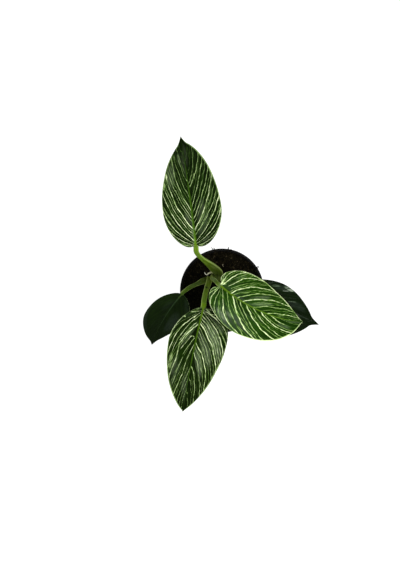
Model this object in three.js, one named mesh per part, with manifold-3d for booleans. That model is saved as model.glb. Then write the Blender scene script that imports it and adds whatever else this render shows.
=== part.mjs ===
// A young Philodendron birkin in a 12 cm nursery pot: five leaves on a short leaning stem.
// Millimetres, +Z up. The pot stands on z = 0 with its axis through the origin.

import * as THREE from 'three';
import { mergeVertices } from 'three/addons/utils/BufferGeometryUtils.js';
import Module from 'manifold-3d';

const wasm = await Module();
wasm.setup();

// ---------------------------------------------------------------- driving dimensions

// Where two pieces touch, the solids keep this much air between them.
const SEAT_GAP = 0.3;

const POT = {
  rimRadius: 60,
  height: 105,
  wall: 1.2,
  rimBand: 9,          // height of the skirt that hangs from the rim
  lip: 3.2,            // width of the flat ring on top
  mouthRadius: 57,     // outside of the wall, just under the lip
  footRadius: 42.5,
  padRadius: 18,       // flat disc in the middle of the base
  ringRadius: 34,      // inner edge of the foot ring
  step: 3,             // how far the drain channel is raised
  slope: 2,            // run of the channel's sloping sides
  footEdge: 1.5,       // bevel where the foot ring turns up into the wall
  rimEdge: 0.6,        // bevel of the rim's outer edge
  drainHoles: 8,
  drainRadius: 4,
  segments: 48,
};

const SOIL = {
  level: 100,
  relief: 2.2,         // crumb heaps and hollows, up and down
  heap: 9,             // size of a heap and of a crumb
  crumb: 4,
  dish: 1.2,           // how much higher the mix lies at the wall than in the middle
  rings: 8,
  seed: 7,
};

const STEM = {
  route: [[-7, 15.5, 76], [-8, 16.5, 100], [-9.5, 18, 120], [-11, 19.5, 135]],
  radius: 6,
  nodeSwell: 0.7,      // how far the leaf-scar rings stand out
  nodes: 5,
  sides: 14,
  steps: 15,
};

const BLADE = {
  thickness: 0.8,
  midribDepth: 2.2,    // keel under the blade, at its base
  midribHalfWidth: 4,
  neck: 0.09,          // half width where the petiole meets the blade, as a share
  veins: 26,           // vein lines from the base lobe to the tip, in each half
  neckVeins: 3 / 26,   // share of them that start along the neck
  footVeins: 0.55,     // share of them that start on the neck or on the midrib's foot
  footShare: 0.03,     // how far the foot reaches along the midrib
  lobeVeins: 0.42,     // share of them that end short of the blade's widest place
  flankVeins: 0.9,     // share of them that end short of the drip tip
  flankPull: [[0.6, 1], [0.8, 0.56]],       // what the flank and the drip tip bend towards,
  dripPull: [[0.03, -0.085], [0.98, 0.03]], // the first of the drip tip from its own start
  reaches: [0, 0.12, 0.3, 0.52, 0.76, 1],   // steps from midrib to margin
};

const PETIOLE_SIDES = 10;
const PETIOLE_STEPS = 20;

// One entry for each leaf. Lengths in mm and angles in degrees: heading is the compass
// direction of the midrib from +X towards +Y, sweep how far it turns on the way to the tip,
// pitch its rise at the base and at the tip, roll and twist the tilt about the midrib, fold
// the upward V of the halves and droop how fast they curl down again, in mrad per mm.
// lobe, shoulder, widest, rise and drip shape the outline, as shares of the length and of
// the half width. leftShare is the left half's share of the width. sheath is where along the
// petiole its sheath is widest and where it ends.
const LEAVES = {
  back: {
    base: [-37, 59, 215], heading: 95.9, sweep: 4, pitch: [12.5, -28.5], roll: -8, twist: -14,
    length: 153.3, width: 79.5, leftShare: 0.475, fold: 14.5, droop: 4,
    lobe: 0.036, shoulder: 0.42, widest: 0.31, rise: 0.18, drip: [0.905, 0.18],
    wave: { height: 0.7, count: 4, phase: 0.3 },
    petiole: [[-7, 20, 128], [-5.8, 24.3, 138], [-11.1, 30.3, 151], [-18.7, 36.6, 165],
      [-27.5, 42.7, 182], [-33.8, 48, 197], [-36.5, 52.5, 208]],
    petioleWidth: [9.4, 15, 7], petioleDepth: [6, 6.6, 5], sheath: [0.2, 0.72],
  },
  right: {
    base: [-6, 8, 225], heading: -41, sweep: 37, pitch: [-6, -47], roll: -16, twist: -2.5,
    length: 146.5, width: 83, leftShare: 0.508, fold: 7, droop: 10.5,
    lobe: 0.105, shoulder: 0.29, widest: 0.32, rise: 0.28, drip: [0.93, 0.14],
    wave: { height: 0.9, count: 4, phase: 0.3 },
    petiole: [[-14.1, 20.8, 128], [-16.2, 20.3, 137], [-16.2, 19, 150], [-14.8, 16.4, 178],
      [-12.9, 15, 203], [-11.2, 13.4, 217]],
    petioleWidth: [4.6, 4.5, 5.2], petioleDepth: [4.6, 5, 4.4], sheath: [0.15, 0.6],
  },
  front: {
    base: [-27, -22, 200], heading: -103.6, sweep: 5.2, pitch: [-17.5, -25.5], roll: -21, twist: -2,
    length: 160.5, width: 85, leftShare: 0.54, fold: 15, droop: 11,
    lobe: 0, shoulder: 0.39, widest: 0.29, rise: 0.17, drip: [0.92, 0.24],
    wave: { height: 0.8, count: 4, phase: 0 },
    petiole: [[-12.5, 18.5, 110], [-17.2, 19, 119], [-17.7, 16.5, 130], [-19, 12, 142],
      [-22, 3.5, 160], [-24.8, -7, 180], [-26.1, -13.5, 193]],
    petioleWidth: [6.4, 8.6, 7.2], petioleDepth: [5, 5, 5], sheath: [0.15, 0.6],
  },
  low_left: {
    base: [-56.5, -5, 152], heading: -131.9, sweep: 21.5, pitch: [-35, -41.5], roll: -24.5, twist: -6,
    length: 111, width: 62, leftShare: 0.51, fold: 5.5, droop: 4,
    lobe: 0, shoulder: 0.39, widest: 0.45, rise: 0.26, drip: [0.9, 0.2],
    wave: { height: 0.5, count: 3, phase: 0.3 },
    petiole: [[-13.5, 17, 104.5], [-20.5, 15.6, 110.5], [-26.5, 13.6, 124], [-35.5, 9.2, 139],
      [-45.5, 4.6, 151], [-51, 0.8, 154.5]],
    petioleWidth: [6, 10.4, 5.4], petioleDepth: [5, 5, 4], sheath: [0.2, 0.7],
  },
  low_right: {
    base: [14, -8, 155], heading: -10.8, sweep: -15, pitch: [8, -23], roll: -9, twist: -13,
    length: 129.5, width: 79.2, leftShare: 0.46, fold: 1, droop: 3.4,
    lobe: 0.05, shoulder: 0.44, widest: 0.46, rise: 0.285, drip: [0.885, 0.18],
    wave: { height: 0.6, count: 3, phase: 0.3 },
    petiole: [[-7.5, 13.5, 103], [-6.5, 10.5, 109], [-4, 8.5, 122], [0, 3, 137], [5, -3.5, 149]],
    petioleWidth: [6, 7, 6], petioleDepth: [5, 5, 4.4], sheath: [0.15, 0.6],
  },
};

// The withered sheath that the newest leaf grew out of: a curled, papery strap.
const DRY_SHEATH = {
  route: [[-14, 24.9, 134], [-16.6, 24.6, 137], [-19.4, 23.4, 138.5], [-21.7, 21.8, 138],
    [-23.9, 22.6, 137.5], [-25.2, 25.4, 138.5]],
  width: [5.4, 1],
  thickness: 0.8,
  steps: 14,
};

// ---------------------------------------------------------------- geometry helpers

const radians = THREE.MathUtils.degToRad;
const mix = THREE.MathUtils.lerp;
const point = ([x, y, z]) => new THREE.Vector3(x, y, z);

// One closed body with shared vertices, without the zero-area faces left at poles and tips.
function weld(geometry) {
  geometry.deleteAttribute('normal');
  geometry.deleteAttribute('uv');
  const merged = mergeVertices(geometry, 1e-4);
  const index = merged.index.array;
  const kept = [];
  for (let i = 0; i < index.length; i += 3) {
    const [a, b, c] = [index[i], index[i + 1], index[i + 2]];
    if (a !== b && b !== c && c !== a) kept.push(a, b, c);
  }
  merged.setIndex(kept);
  return merged;
}

// Collects triangles given by their corner points.
class Faces {
  constructor() {
    this.corners = [];
  }

  triangle(a, b, c) {
    for (const p of [a, b, c]) this.corners.push(p.x, p.y, p.z);
  }

  quad(a, b, c, d) {
    this.triangle(a, b, c);
    this.triangle(a, c, d);
  }

  solid() {
    const geometry = new THREE.BufferGeometry();
    geometry.setAttribute('position', new THREE.Float32BufferAttribute(this.corners, 3));
    return weld(geometry);
  }
}

// Skins a row of closed rings, each listed anticlockwise as seen from the last ring.
function skin(rings) {
  const faces = new Faces();
  const count = rings[0].length;
  for (let r = 0; r + 1 < rings.length; r++) {
    for (let k = 0; k < count; k++) {
      const next = (k + 1) % count;
      faces.quad(rings[r][k], rings[r][next], rings[r + 1][next], rings[r + 1][k]);
    }
  }
  for (const [ring, flipped] of [[rings[0], true], [rings[rings.length - 1], false]]) {
    const centre = ring.reduce((sum, p) => sum.add(p), new THREE.Vector3()).divideScalar(count);
    for (let k = 0; k < count; k++) {
      const [a, b] = [ring[k], ring[(k + 1) % count]];
      if (flipped) faces.triangle(centre, b, a);
      else faces.triangle(centre, a, b);
    }
  }
  return faces.solid();
}

// Rings along a smooth route. across is the direction that a section's width follows, and
// section(share) gives its outline there as [width, depth] pairs, anticlockwise.
function sweep(route, across, steps, section) {
  const curve = new THREE.CatmullRomCurve3(route, false, 'centripetal');
  const rings = [];
  for (let i = 0; i <= steps; i++) {
    const share = i / steps;
    const centre = curve.getPointAt(share);
    const tangent = curve.getTangentAt(share);
    const wide = across.clone().addScaledVector(tangent, -across.dot(tangent)).normalize();
    const deep = new THREE.Vector3().crossVectors(tangent, wide);
    rings.push(section(share).map(([w, d]) => (
      centre.clone().addScaledVector(wide, w).addScaledVector(deep, d))));
  }
  return skin(rings);
}

function toManifold(geometry) {
  return new wasm.Manifold(new wasm.Mesh({
    numProp: 3,
    vertProperties: new Float32Array(geometry.attributes.position.array),
    triVerts: new Uint32Array(geometry.index.array),
  }));
}

function cut(body, cutters) {
  let solid = toManifold(body);
  for (const cutter of cutters) solid = solid.subtract(toManifold(cutter));
  const mesh = solid.getMesh();
  const geometry = new THREE.BufferGeometry();
  geometry.setAttribute('position', new THREE.Float32BufferAttribute(mesh.vertProperties, 3));
  geometry.setIndex(Array.from(mesh.triVerts));
  return geometry;
}

// Repeatable noise: a value from -1 to 1 at each whole-number cell, blended between cells.
function cellValue(x, y, seed) {
  const n = Math.sin(x * 127.1 + y * 311.7 + seed * 74.7) * 43758.5453;
  return 2 * (n - Math.floor(n)) - 1;
}

function noise(x, y, seed) {
  const [cx, cy] = [Math.floor(x), Math.floor(y)];
  const [fx, fy] = [THREE.MathUtils.smoothstep(x - cx, 0, 1), THREE.MathUtils.smoothstep(y - cy, 0, 1)];
  const low = mix(cellValue(cx, cy, seed), cellValue(cx + 1, cy, seed), fx);
  const high = mix(cellValue(cx, cy + 1, seed), cellValue(cx + 1, cy + 1, seed), fx);
  return mix(low, high, fy);
}

// ---------------------------------------------------------------- pot and soil

// Radius of the wall's outside at a height, between the foot and the mouth.
function wallRadius(z) {
  return mix(POT.footRadius, POT.mouthRadius, z / POT.height);
}

function innerRadius(z) {
  return wallRadius(z) - POT.wall;
}

// A moulded wall with a skirted rim, a flat centre pad, a raised drain channel and a foot ring.
function potGeometry() {
  const { rimRadius, height, wall, rimBand, lip, padRadius, ringRadius, step, slope } = POT;
  const { footEdge, rimEdge } = POT;
  const shift = wall / 2;
  const base = [[0, 0], [padRadius, 0], [padRadius + slope, step], [ringRadius - slope, step],
    [ringRadius, 0], [POT.footRadius - footEdge, 0], [wallRadius(footEdge), footEdge]];
  const rim = [[wallRadius(height - wall), height - wall], [rimRadius - wall, height - wall],
    [rimRadius - wall, height - rimBand], [rimRadius, height - rimBand],
    [rimRadius, height - rimEdge], [rimRadius - rimEdge, height], [rimRadius - lip, height]];
  const inside = [[innerRadius(height - wall), height - wall],
    [innerRadius(wall + footEdge), wall + footEdge], [innerRadius(wall) - footEdge, wall],
    [ringRadius + shift, wall], [ringRadius - slope + shift, step + wall],
    [padRadius + slope - shift, step + wall], [padRadius - shift, wall], [0, wall]];
  const profile = [...base, ...rim, ...inside];
  const shell = new THREE.LatheGeometry(profile.map(([r, z]) => new THREE.Vector2(r, z)), POT.segments);
  shell.rotateX(Math.PI / 2);
  const holes = [];
  const middle = (padRadius + ringRadius) / 2;
  for (let k = 0; k < POT.drainHoles; k++) {
    const angle = (k + 0.5) * 2 * Math.PI / POT.drainHoles;
    const hole = new THREE.CylinderGeometry(POT.drainRadius, POT.drainRadius, 4 * step, 12);
    hole.rotateX(Math.PI / 2);
    hole.translate(middle * Math.cos(angle), middle * Math.sin(angle), step);
    holes.push(weld(hole));
  }
  return cut(weld(shell), holes);
}

// Height of the potting mix at a point: heaped crumbs, a shallow dish, a little low at the wall.
function soilHeight(x, y) {
  const heaps = noise(x / SOIL.heap, y / SOIL.heap, SOIL.seed);
  const crumbs = noise(x / SOIL.crumb, y / SOIL.crumb, SOIL.seed + 1);
  const dish = SOIL.dish * (Math.hypot(x, y) / POT.mouthRadius) ** 2;
  return SOIL.level + SOIL.relief * (0.6 * heaps + 0.4 * crumbs) + dish;
}

// A filled body: a crumbly top, a side that follows the wall and a bottom that follows the base.
function soilGeometry() {
  const { padRadius, ringRadius, step, slope, footEdge, segments } = POT;
  const side = (z) => innerRadius(z) - SEAT_GAP;
  const floor = POT.wall + SEAT_GAP;
  const shift = POT.wall;
  const shoulder = SOIL.level - 2 * SOIL.relief;
  const rows = [];
  for (let r = 1; r <= SOIL.rings; r++) {
    rows.push({ radius: side(SOIL.level) * (r / SOIL.rings) ** 0.9, height: null });
  }
  const under = [[side(shoulder), shoulder], [side(floor + footEdge), floor + footEdge],
    [side(floor) - footEdge - SEAT_GAP, floor], [ringRadius + shift, floor],
    [ringRadius - slope + shift, step + floor], [padRadius + slope - shift, step + floor],
    [padRadius - shift, floor]];
  for (const [radius, height] of under) rows.push({ radius, height });
  const rings = rows.map(({ radius, height }) => Array.from({ length: segments }, (_, k) => {
    const angle = k * 2 * Math.PI / segments;
    const [x, y] = [radius * Math.cos(angle), radius * Math.sin(angle)];
    return new THREE.Vector3(x, y, height ?? soilHeight(x, y));
  }));
  return cut(skin(rings.reverse()), [stemGeometry(SEAT_GAP)]);
}

// ---------------------------------------------------------------- stem

// A short woody trunk with swollen leaf scars. grow makes it that much fatter and longer, for
// the hole that it stands in.
function stemGeometry(grow = 0) {
  const route = STEM.route.map(point);
  route[0].z -= grow;
  return sweep(route, new THREE.Vector3(1, 0, 0), STEM.steps, (share) => {
    const swell = STEM.nodeSwell * Math.abs(Math.sin(share * Math.PI * STEM.nodes)) ** 3;
    const taper = share === 1 ? 0.8 : 1;
    const radius = STEM.radius * taper + swell + grow;
    return Array.from({ length: STEM.sides }, (_, k) => {
      const angle = k * 2 * Math.PI / STEM.sides;
      return [radius * Math.cos(angle), radius * Math.sin(angle)];
    });
  });
}

// ---------------------------------------------------------------- leaf blades

const MIDRIB_STEPS = 96;

// Points and directions along a leaf's midrib, added up from its heading and pitch.
function midrib(leaf) {
  const rows = [];
  const at = point(leaf.base);
  let last = null;
  for (let i = 0; i <= MIDRIB_STEPS; i++) {
    const share = i / MIDRIB_STEPS;
    const heading = radians(leaf.heading + leaf.sweep * share);
    const pitch = radians(mix(leaf.pitch[0], leaf.pitch[1], share));
    const along = new THREE.Vector3(
      Math.cos(pitch) * Math.cos(heading), Math.cos(pitch) * Math.sin(heading), Math.sin(pitch));
    if (last) at.addScaledVector(last.clone().add(along), leaf.length / MIDRIB_STEPS / 2);
    last = along;
    rows.push({ at: at.clone(), along, heading });
  }
  return rows;
}

// The midrib's place and its three directions at a share of its length.
function ribFrame(leaf, rows, share) {
  const step = THREE.MathUtils.clamp(share, 0, 1) * MIDRIB_STEPS;
  const low = Math.min(Math.floor(step), MIDRIB_STEPS - 1);
  const blend = step - low;
  const at = rows[low].at.clone().lerp(rows[low + 1].at, blend);
  const along = rows[low].along.clone().lerp(rows[low + 1].along, blend).normalize();
  at.addScaledVector(along, Math.min(share, 0) * leaf.length);
  const heading = mix(rows[low].heading, rows[low + 1].heading, blend);
  const level = new THREE.Vector3(-Math.sin(heading), Math.cos(heading), 0);
  const upright = new THREE.Vector3().crossVectors(along, level);
  const roll = radians(leaf.roll + leaf.twist * THREE.MathUtils.clamp(share, 0, 1));
  const left = level.clone().multiplyScalar(Math.cos(roll)).addScaledVector(upright, Math.sin(roll));
  const up = upright.clone().multiplyScalar(Math.cos(roll)).addScaledVector(level, -Math.sin(roll));
  return { at, along, left, up };
}

// Where a vein meets the margin: the base lobe, then the flank, then the drawn-out drip tip.
function marginPoint(leaf, vein) {
  const { neck, lobeVeins, flankVeins, flankPull, dripPull } = BLADE;
  const { lobe, shoulder, widest, rise, drip } = leaf;
  const bend = (...ends) => new THREE.CubicBezierCurve(...ends.map(([x, y]) => new THREE.Vector2(x, y)));
  if (vein < lobeVeins) {
    const base = bend([0, neck], [-lobe, shoulder], [widest - rise, 1], [widest, 1]);
    return base.getPoint(vein / lobeVeins);
  }
  if (vein < flankVeins) {
    const flank = bend([widest, 1], ...flankPull, drip);
    return flank.getPoint((vein - lobeVeins) / (flankVeins - lobeVeins));
  }
  const [[ahead, inward], nearTip] = dripPull;
  const tip = bend(drip, [drip[0] + ahead, drip[1] + inward], nearTip, [1, 0]);
  return tip.getPoint((vein - flankVeins) / (1 - flankVeins));
}

// Where a vein starts: the first ones along the neck, the next close together on the midrib's
// foot and the rest spread along the midrib up to the tip.
function veinStart(vein) {
  const { neck, neckVeins, footVeins, footShare } = BLADE;
  const across = neck * Math.max(0, 1 - vein / neckVeins);
  const foot = THREE.MathUtils.clamp((vein - neckVeins) / (footVeins - neckVeins), 0, 1);
  const spread = Math.max(0, (vein - footVeins) / (1 - footVeins)) ** 1.9;
  return new THREE.Vector2(mix(footShare * foot, 1, spread), across);
}

// A point on a vein, from the midrib (reach 0) to the margin (reach 1), on the flat leaf.
function veinPoint(leaf, vein, reach) {
  const end = marginPoint(leaf, vein);
  const start = veinStart(vein);
  const { x, y } = start;
  const pull = new THREE.Vector2(x + 0.38 * Math.max(0, end.x - x), mix(y, end.y, 0.62));
  return new THREE.QuadraticBezierCurve(start, pull, end).getPoint(reach);
}

// The blade as two faces with the same triangles, a wall round the margin and a keel below.
function bladeGeometry(leaf) {
  const rows = midrib(leaf);
  const fold = radians(leaf.fold);
  const curl = leaf.droop / 1000;

  function surface(side, vein, reach, upper) {
    const flat = veinPoint(leaf, vein, reach);
    const halfWidth = leaf.width * (side > 0 ? leaf.leftShare : 1 - leaf.leftShare);
    const far = flat.y * halfWidth;
    const frame = ribFrame(leaf, rows, flat.x);
    const slope = far > 0 ? fold - curl * far : 0;
    const sideways = (Math.sin(fold) - Math.sin(fold - curl * far)) / curl;
    const phase = 2 * Math.PI * leaf.wave.count * vein + leaf.wave.phase + (side > 0 ? 1.7 : 0);
    const ripple = leaf.wave.height * flat.y ** 2 * Math.sin(phase);
    const raised = (Math.cos(fold - curl * far) - Math.cos(fold)) / curl + ripple;
    const keelShape = (1 - Math.max(flat.x, 0)) * Math.max(0, 1 - far / BLADE.midribHalfWidth);
    const keel = BLADE.midribDepth * keelShape;
    const offset = upper ? BLADE.thickness / 2 : -BLADE.thickness / 2 - keel;
    return frame.at
      .addScaledVector(frame.left, side * (sideways - offset * Math.sin(slope)))
      .addScaledVector(frame.up, raised + offset * Math.cos(slope));
  }

  const faces = new Faces();
  const { veins, reaches } = BLADE;
  const neckRows = Math.round(BLADE.neckVeins * veins);
  for (const side of [1, -1]) {
    const grids = [true, false].map((upper) => Array.from({ length: veins + 1 }, (_, v) => (
      reaches.map((reach) => surface(side, v / veins, reach, upper)))));
    const [top, bottom] = grids;
    const place = (a, b, c, d) => (side > 0 ? faces.quad(a, b, c, d) : faces.quad(a, d, c, b));
    for (let v = 0; v < veins; v++) {
      for (let r = 0; r + 1 < reaches.length; r++) {
        place(top[v][r], top[v + 1][r], top[v + 1][r + 1], top[v][r + 1]);
        place(bottom[v][r], bottom[v][r + 1], bottom[v + 1][r + 1], bottom[v + 1][r]);
      }
      const rim = reaches.length - 1;
      place(top[v][rim], top[v + 1][rim], bottom[v + 1][rim], bottom[v][rim]);
      if (v < neckRows) place(top[v + 1][0], top[v][0], bottom[v][0], bottom[v + 1][0]);
    }
  }
  return faces.solid();
}

// ---------------------------------------------------------------- petioles

// A leaf stalk from inside the stem to the blade's base, grooved on its upper side. Its widths
// and depths are those of the foot, of the sheath just above it and of the top. grow makes it
// that much fatter, for the socket in the stem.
function petioleGeometry(leaf, grow = 0) {
  const { at, along, left, up } = ribFrame(leaf, midrib(leaf), 0);
  const drop = -BLADE.midribDepth / 2;
  const end = at.clone().addScaledVector(along, -SEAT_GAP).addScaledVector(up, drop);
  const route = leaf.petiole.map(point);
  const first = route[0].clone().sub(route[1]).normalize();
  route[0].addScaledVector(first, grow);
  route.push(end.clone().addScaledVector(along, -3), end.clone().addScaledVector(along, -1.5), end);
  const [widest, over] = leaf.sheath;
  const size = ([foot, sheath, top], share) => (
    share < widest
      ? mix(foot, sheath, THREE.MathUtils.smoothstep(share, 0, widest))
      : mix(sheath, top, THREE.MathUtils.smoothstep(share, widest, over)));
  return sweep(route, left, PETIOLE_STEPS, (share) => {
    const halfWidth = size(leaf.petioleWidth, share) / 2 + grow;
    const halfDepth = size(leaf.petioleDepth, share) / 2 + grow;
    return Array.from({ length: PETIOLE_SIDES }, (_, k) => {
      const angle = k * 2 * Math.PI / PETIOLE_SIDES;
      const groove = 0.35 * Math.max(0, Math.sin(angle)) ** 6;
      return [halfWidth * Math.cos(angle), halfDepth * Math.sin(angle) * (1 - groove)];
    });
  });
}

// ---------------------------------------------------------------- dry sheath

function drySheathGeometry() {
  const { route, width, thickness, steps } = DRY_SHEATH;
  return sweep(route.map(point), new THREE.Vector3(0.3, -0.5, 0.8), steps, (share) => {
    const half = mix(width[0], width[1], share ** 0.7) / 2;
    const cup = 0.35 * half;
    return [[-half, cup], [-half * 0.4, 0], [half * 0.4, 0], [half, cup],
      [half, cup + thickness], [half * 0.35, thickness], [-half * 0.35, thickness],
      [-half, cup + thickness]];
  });
}

// ---------------------------------------------------------------- the plant

function coat(color, roughness) {
  return new THREE.MeshStandardMaterial({ color, roughness, metalness: 0 });
}

const COATS = {
  potPlastic: coat('#16171a', 0.45),
  pottingMix: coat('#1d140e', 0.95),
  bark: coat('#4a4a22', 0.7),
  stalk: coat('#6d8f2a', 0.45),
  stripedBlade: coat('#3f6a2c', 0.4),
  darkBlade: coat('#1c3318', 0.3),
  drySheath: coat('#b9a583', 0.85),
};

function named(name, geometry, material) {
  const mesh = new THREE.Mesh(geometry, material);
  mesh.name = name;
  return mesh;
}

function leafMeshes(name, leaf) {
  const blade = name.startsWith('low') ? COATS.darkBlade : COATS.stripedBlade;
  return [
    named(`petiole_${name}`, petioleGeometry(leaf), COATS.stalk),
    named(`blade_${name}`, bladeGeometry(leaf), blade),
  ];
}

const plant = new THREE.Group();
plant.add(named('pot', potGeometry(), COATS.potPlastic));
plant.add(named('soil', soilGeometry(), COATS.pottingMix));
const sockets = Object.values(LEAVES).map((leaf) => petioleGeometry(leaf, SEAT_GAP));
plant.add(named('stem', cut(stemGeometry(), sockets), COATS.bark));
for (const [name, leaf] of Object.entries(LEAVES)) plant.add(...leafMeshes(name, leaf));
plant.add(named('dry_sheath', drySheathGeometry(), COATS.drySheath));

export default plant;
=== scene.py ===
import math

import bmesh
import bpy
import numpy as np
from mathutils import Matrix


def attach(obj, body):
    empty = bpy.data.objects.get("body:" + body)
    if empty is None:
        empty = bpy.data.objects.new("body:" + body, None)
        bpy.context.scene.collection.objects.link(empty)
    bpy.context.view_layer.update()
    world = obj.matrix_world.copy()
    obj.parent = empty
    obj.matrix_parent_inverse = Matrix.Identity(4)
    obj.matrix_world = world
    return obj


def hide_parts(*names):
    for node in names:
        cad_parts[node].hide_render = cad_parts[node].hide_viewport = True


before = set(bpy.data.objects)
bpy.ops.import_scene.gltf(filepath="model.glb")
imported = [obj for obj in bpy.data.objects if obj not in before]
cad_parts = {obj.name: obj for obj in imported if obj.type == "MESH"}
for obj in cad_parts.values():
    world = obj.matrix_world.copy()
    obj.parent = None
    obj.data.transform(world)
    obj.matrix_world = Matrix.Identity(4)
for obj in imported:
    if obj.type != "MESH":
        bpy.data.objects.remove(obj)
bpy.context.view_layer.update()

# A young Philodendron birkin in a 12 cm nursery pot: five leaves on a short leaning stem.
# Lengths are in mm and angles in degrees, as in the part's source, with +Z up and the pot
# standing on z = 0; mesh_piece() turns the millimetres to metres.

MM = 0.001

# ---------------------------------------------------------------- sizes shared with the frame

POT = dict(rim_radius=60, height=105, wall=1.2, rim_band=9, lip=3.2, mouth_radius=57,
           foot_radius=42.5, pad_radius=18, ring_radius=34, step=3, slope=2, foot_edge=1.5,
           rim_edge=0.6, drain_holes=8, drain_radius=4)
SEAT_GAP = 0.3           # air between the mix and the pot

SOIL = dict(level=100, relief=2.2, heap=9, crumb=4, dish=1.2, seed=7)

STEM = dict(route=[(-7, 15.5, 76), (-8, 16.5, 100), (-9.5, 18, 120), (-11, 19.5, 135)],
            radius=6, node_swell=0.7, nodes=5)

# foot_veins is a little less than in the part's source: it moves the side veins, not the outline.
BLADE = dict(thickness=0.8, rib_depth=2.2, rib_half_width=4, neck=0.09,
             neck_veins=3 / 26, foot_veins=0.5, foot_share=0.03,
             lobe_veins=0.42, flank_veins=0.9, flank_pull=[(0.6, 1), (0.8, 0.56)],
             drip_pull=[(0.03, -0.085), (0.98, 0.03)])

# One entry for each leaf: base, heading, sweep, pitch, roll, twist, fold and droop place and
# bend it; lobe, shoulder, widest, rise and drip draw its outline, as shares. left_share is the
# left half's share of the width, and wave the margin's height, number of waves and phase.
# petiole_width and petiole_depth are those at the foot, at the sheath and at the top, and
# sheath is where along the petiole its sheath is widest and where it ends.
LEAVES = {
    "back": dict(
        base=(-37, 59, 215), heading=95.9, sweep=4, pitch=(12.5, -28.5), roll=-8, twist=-14,
        length=153.3, width=79.5, left_share=0.475, fold=14.5, droop=4,
        lobe=0.036, shoulder=0.42, widest=0.31, rise=0.18, drip=(0.905, 0.18), wave=(0.7, 4, 0.3),
        petiole=[(-7, 20, 128), (-5.8, 24.3, 138), (-11.1, 30.3, 151), (-18.7, 36.6, 165),
                 (-27.5, 42.7, 182), (-33.8, 48, 197), (-36.5, 52.5, 208)],
        petiole_width=(9.4, 15, 7), petiole_depth=(6, 6.6, 5), sheath=(0.2, 0.72)),
    "right": dict(
        base=(-6, 8, 225), heading=-41, sweep=37, pitch=(-6, -47), roll=-16, twist=-2.5,
        length=146.5, width=83, left_share=0.508, fold=7, droop=10.5,
        lobe=0.105, shoulder=0.29, widest=0.32, rise=0.28, drip=(0.93, 0.14), wave=(0.9, 4, 0.3),
        petiole=[(-14.1, 20.8, 128), (-16.2, 20.3, 137), (-16.2, 19, 150), (-14.8, 16.4, 178),
                 (-12.9, 15, 203), (-11.2, 13.4, 217)],
        petiole_width=(4.6, 4.5, 5.2), petiole_depth=(4.6, 5, 4.4), sheath=(0.15, 0.6)),
    "front": dict(
        base=(-27, -22, 200), heading=-103.6, sweep=5.2, pitch=(-17.5, -25.5), roll=-21, twist=-2,
        length=160.5, width=85, left_share=0.54, fold=15, droop=11,
        lobe=0, shoulder=0.39, widest=0.29, rise=0.17, drip=(0.92, 0.24), wave=(0.8, 4, 0),
        petiole=[(-12.5, 18.5, 110), (-17.2, 19, 119), (-17.7, 16.5, 130), (-19, 12, 142),
                 (-22, 3.5, 160), (-24.8, -7, 180), (-26.1, -13.5, 193)],
        petiole_width=(6.4, 8.6, 7.2), petiole_depth=(5, 5, 5), sheath=(0.15, 0.6)),
    "low_left": dict(
        base=(-56.5, -5, 152), heading=-131.9, sweep=21.5, pitch=(-35, -41.5), roll=-24.5, twist=-6,
        length=111, width=62, left_share=0.51, fold=5.5, droop=4,
        lobe=0, shoulder=0.39, widest=0.45, rise=0.26, drip=(0.9, 0.2), wave=(0.5, 3, 0.3),
        petiole=[(-13.5, 17, 104.5), (-20.5, 15.6, 110.5), (-26.5, 13.6, 124), (-35.5, 9.2, 139),
                 (-45.5, 4.6, 151), (-51, 0.8, 154.5)],
        petiole_width=(6, 10.4, 5.4), petiole_depth=(5, 5, 4), sheath=(0.2, 0.7)),
    "low_right": dict(
        base=(14, -8, 155), heading=-10.8, sweep=-15, pitch=(8, -23), roll=-9, twist=-13,
        length=129.5, width=79.2, left_share=0.46, fold=1, droop=3.4,
        lobe=0.05, shoulder=0.44, widest=0.46, rise=0.285, drip=(0.885, 0.18), wave=(0.6, 3, 0.3),
        petiole=[(-7.5, 13.5, 103), (-6.5, 10.5, 109), (-4, 8.5, 122), (0, 3, 137), (5, -3.5, 149)],
        petiole_width=(6, 7, 6), petiole_depth=(5, 5, 4.4), sheath=(0.15, 0.6)),
}

DRY_SHEATH = dict(
    route=[(-14, 24.9, 134), (-16.6, 24.6, 137), (-19.4, 23.4, 138.5), (-21.7, 21.8, 138),
           (-23.9, 22.6, 137.5), (-25.2, 25.4, 138.5)],
    across=(0.3, -0.5, 0.8), width=(5.4, 1))

# ---------------------------------------------------------------- markings

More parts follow.
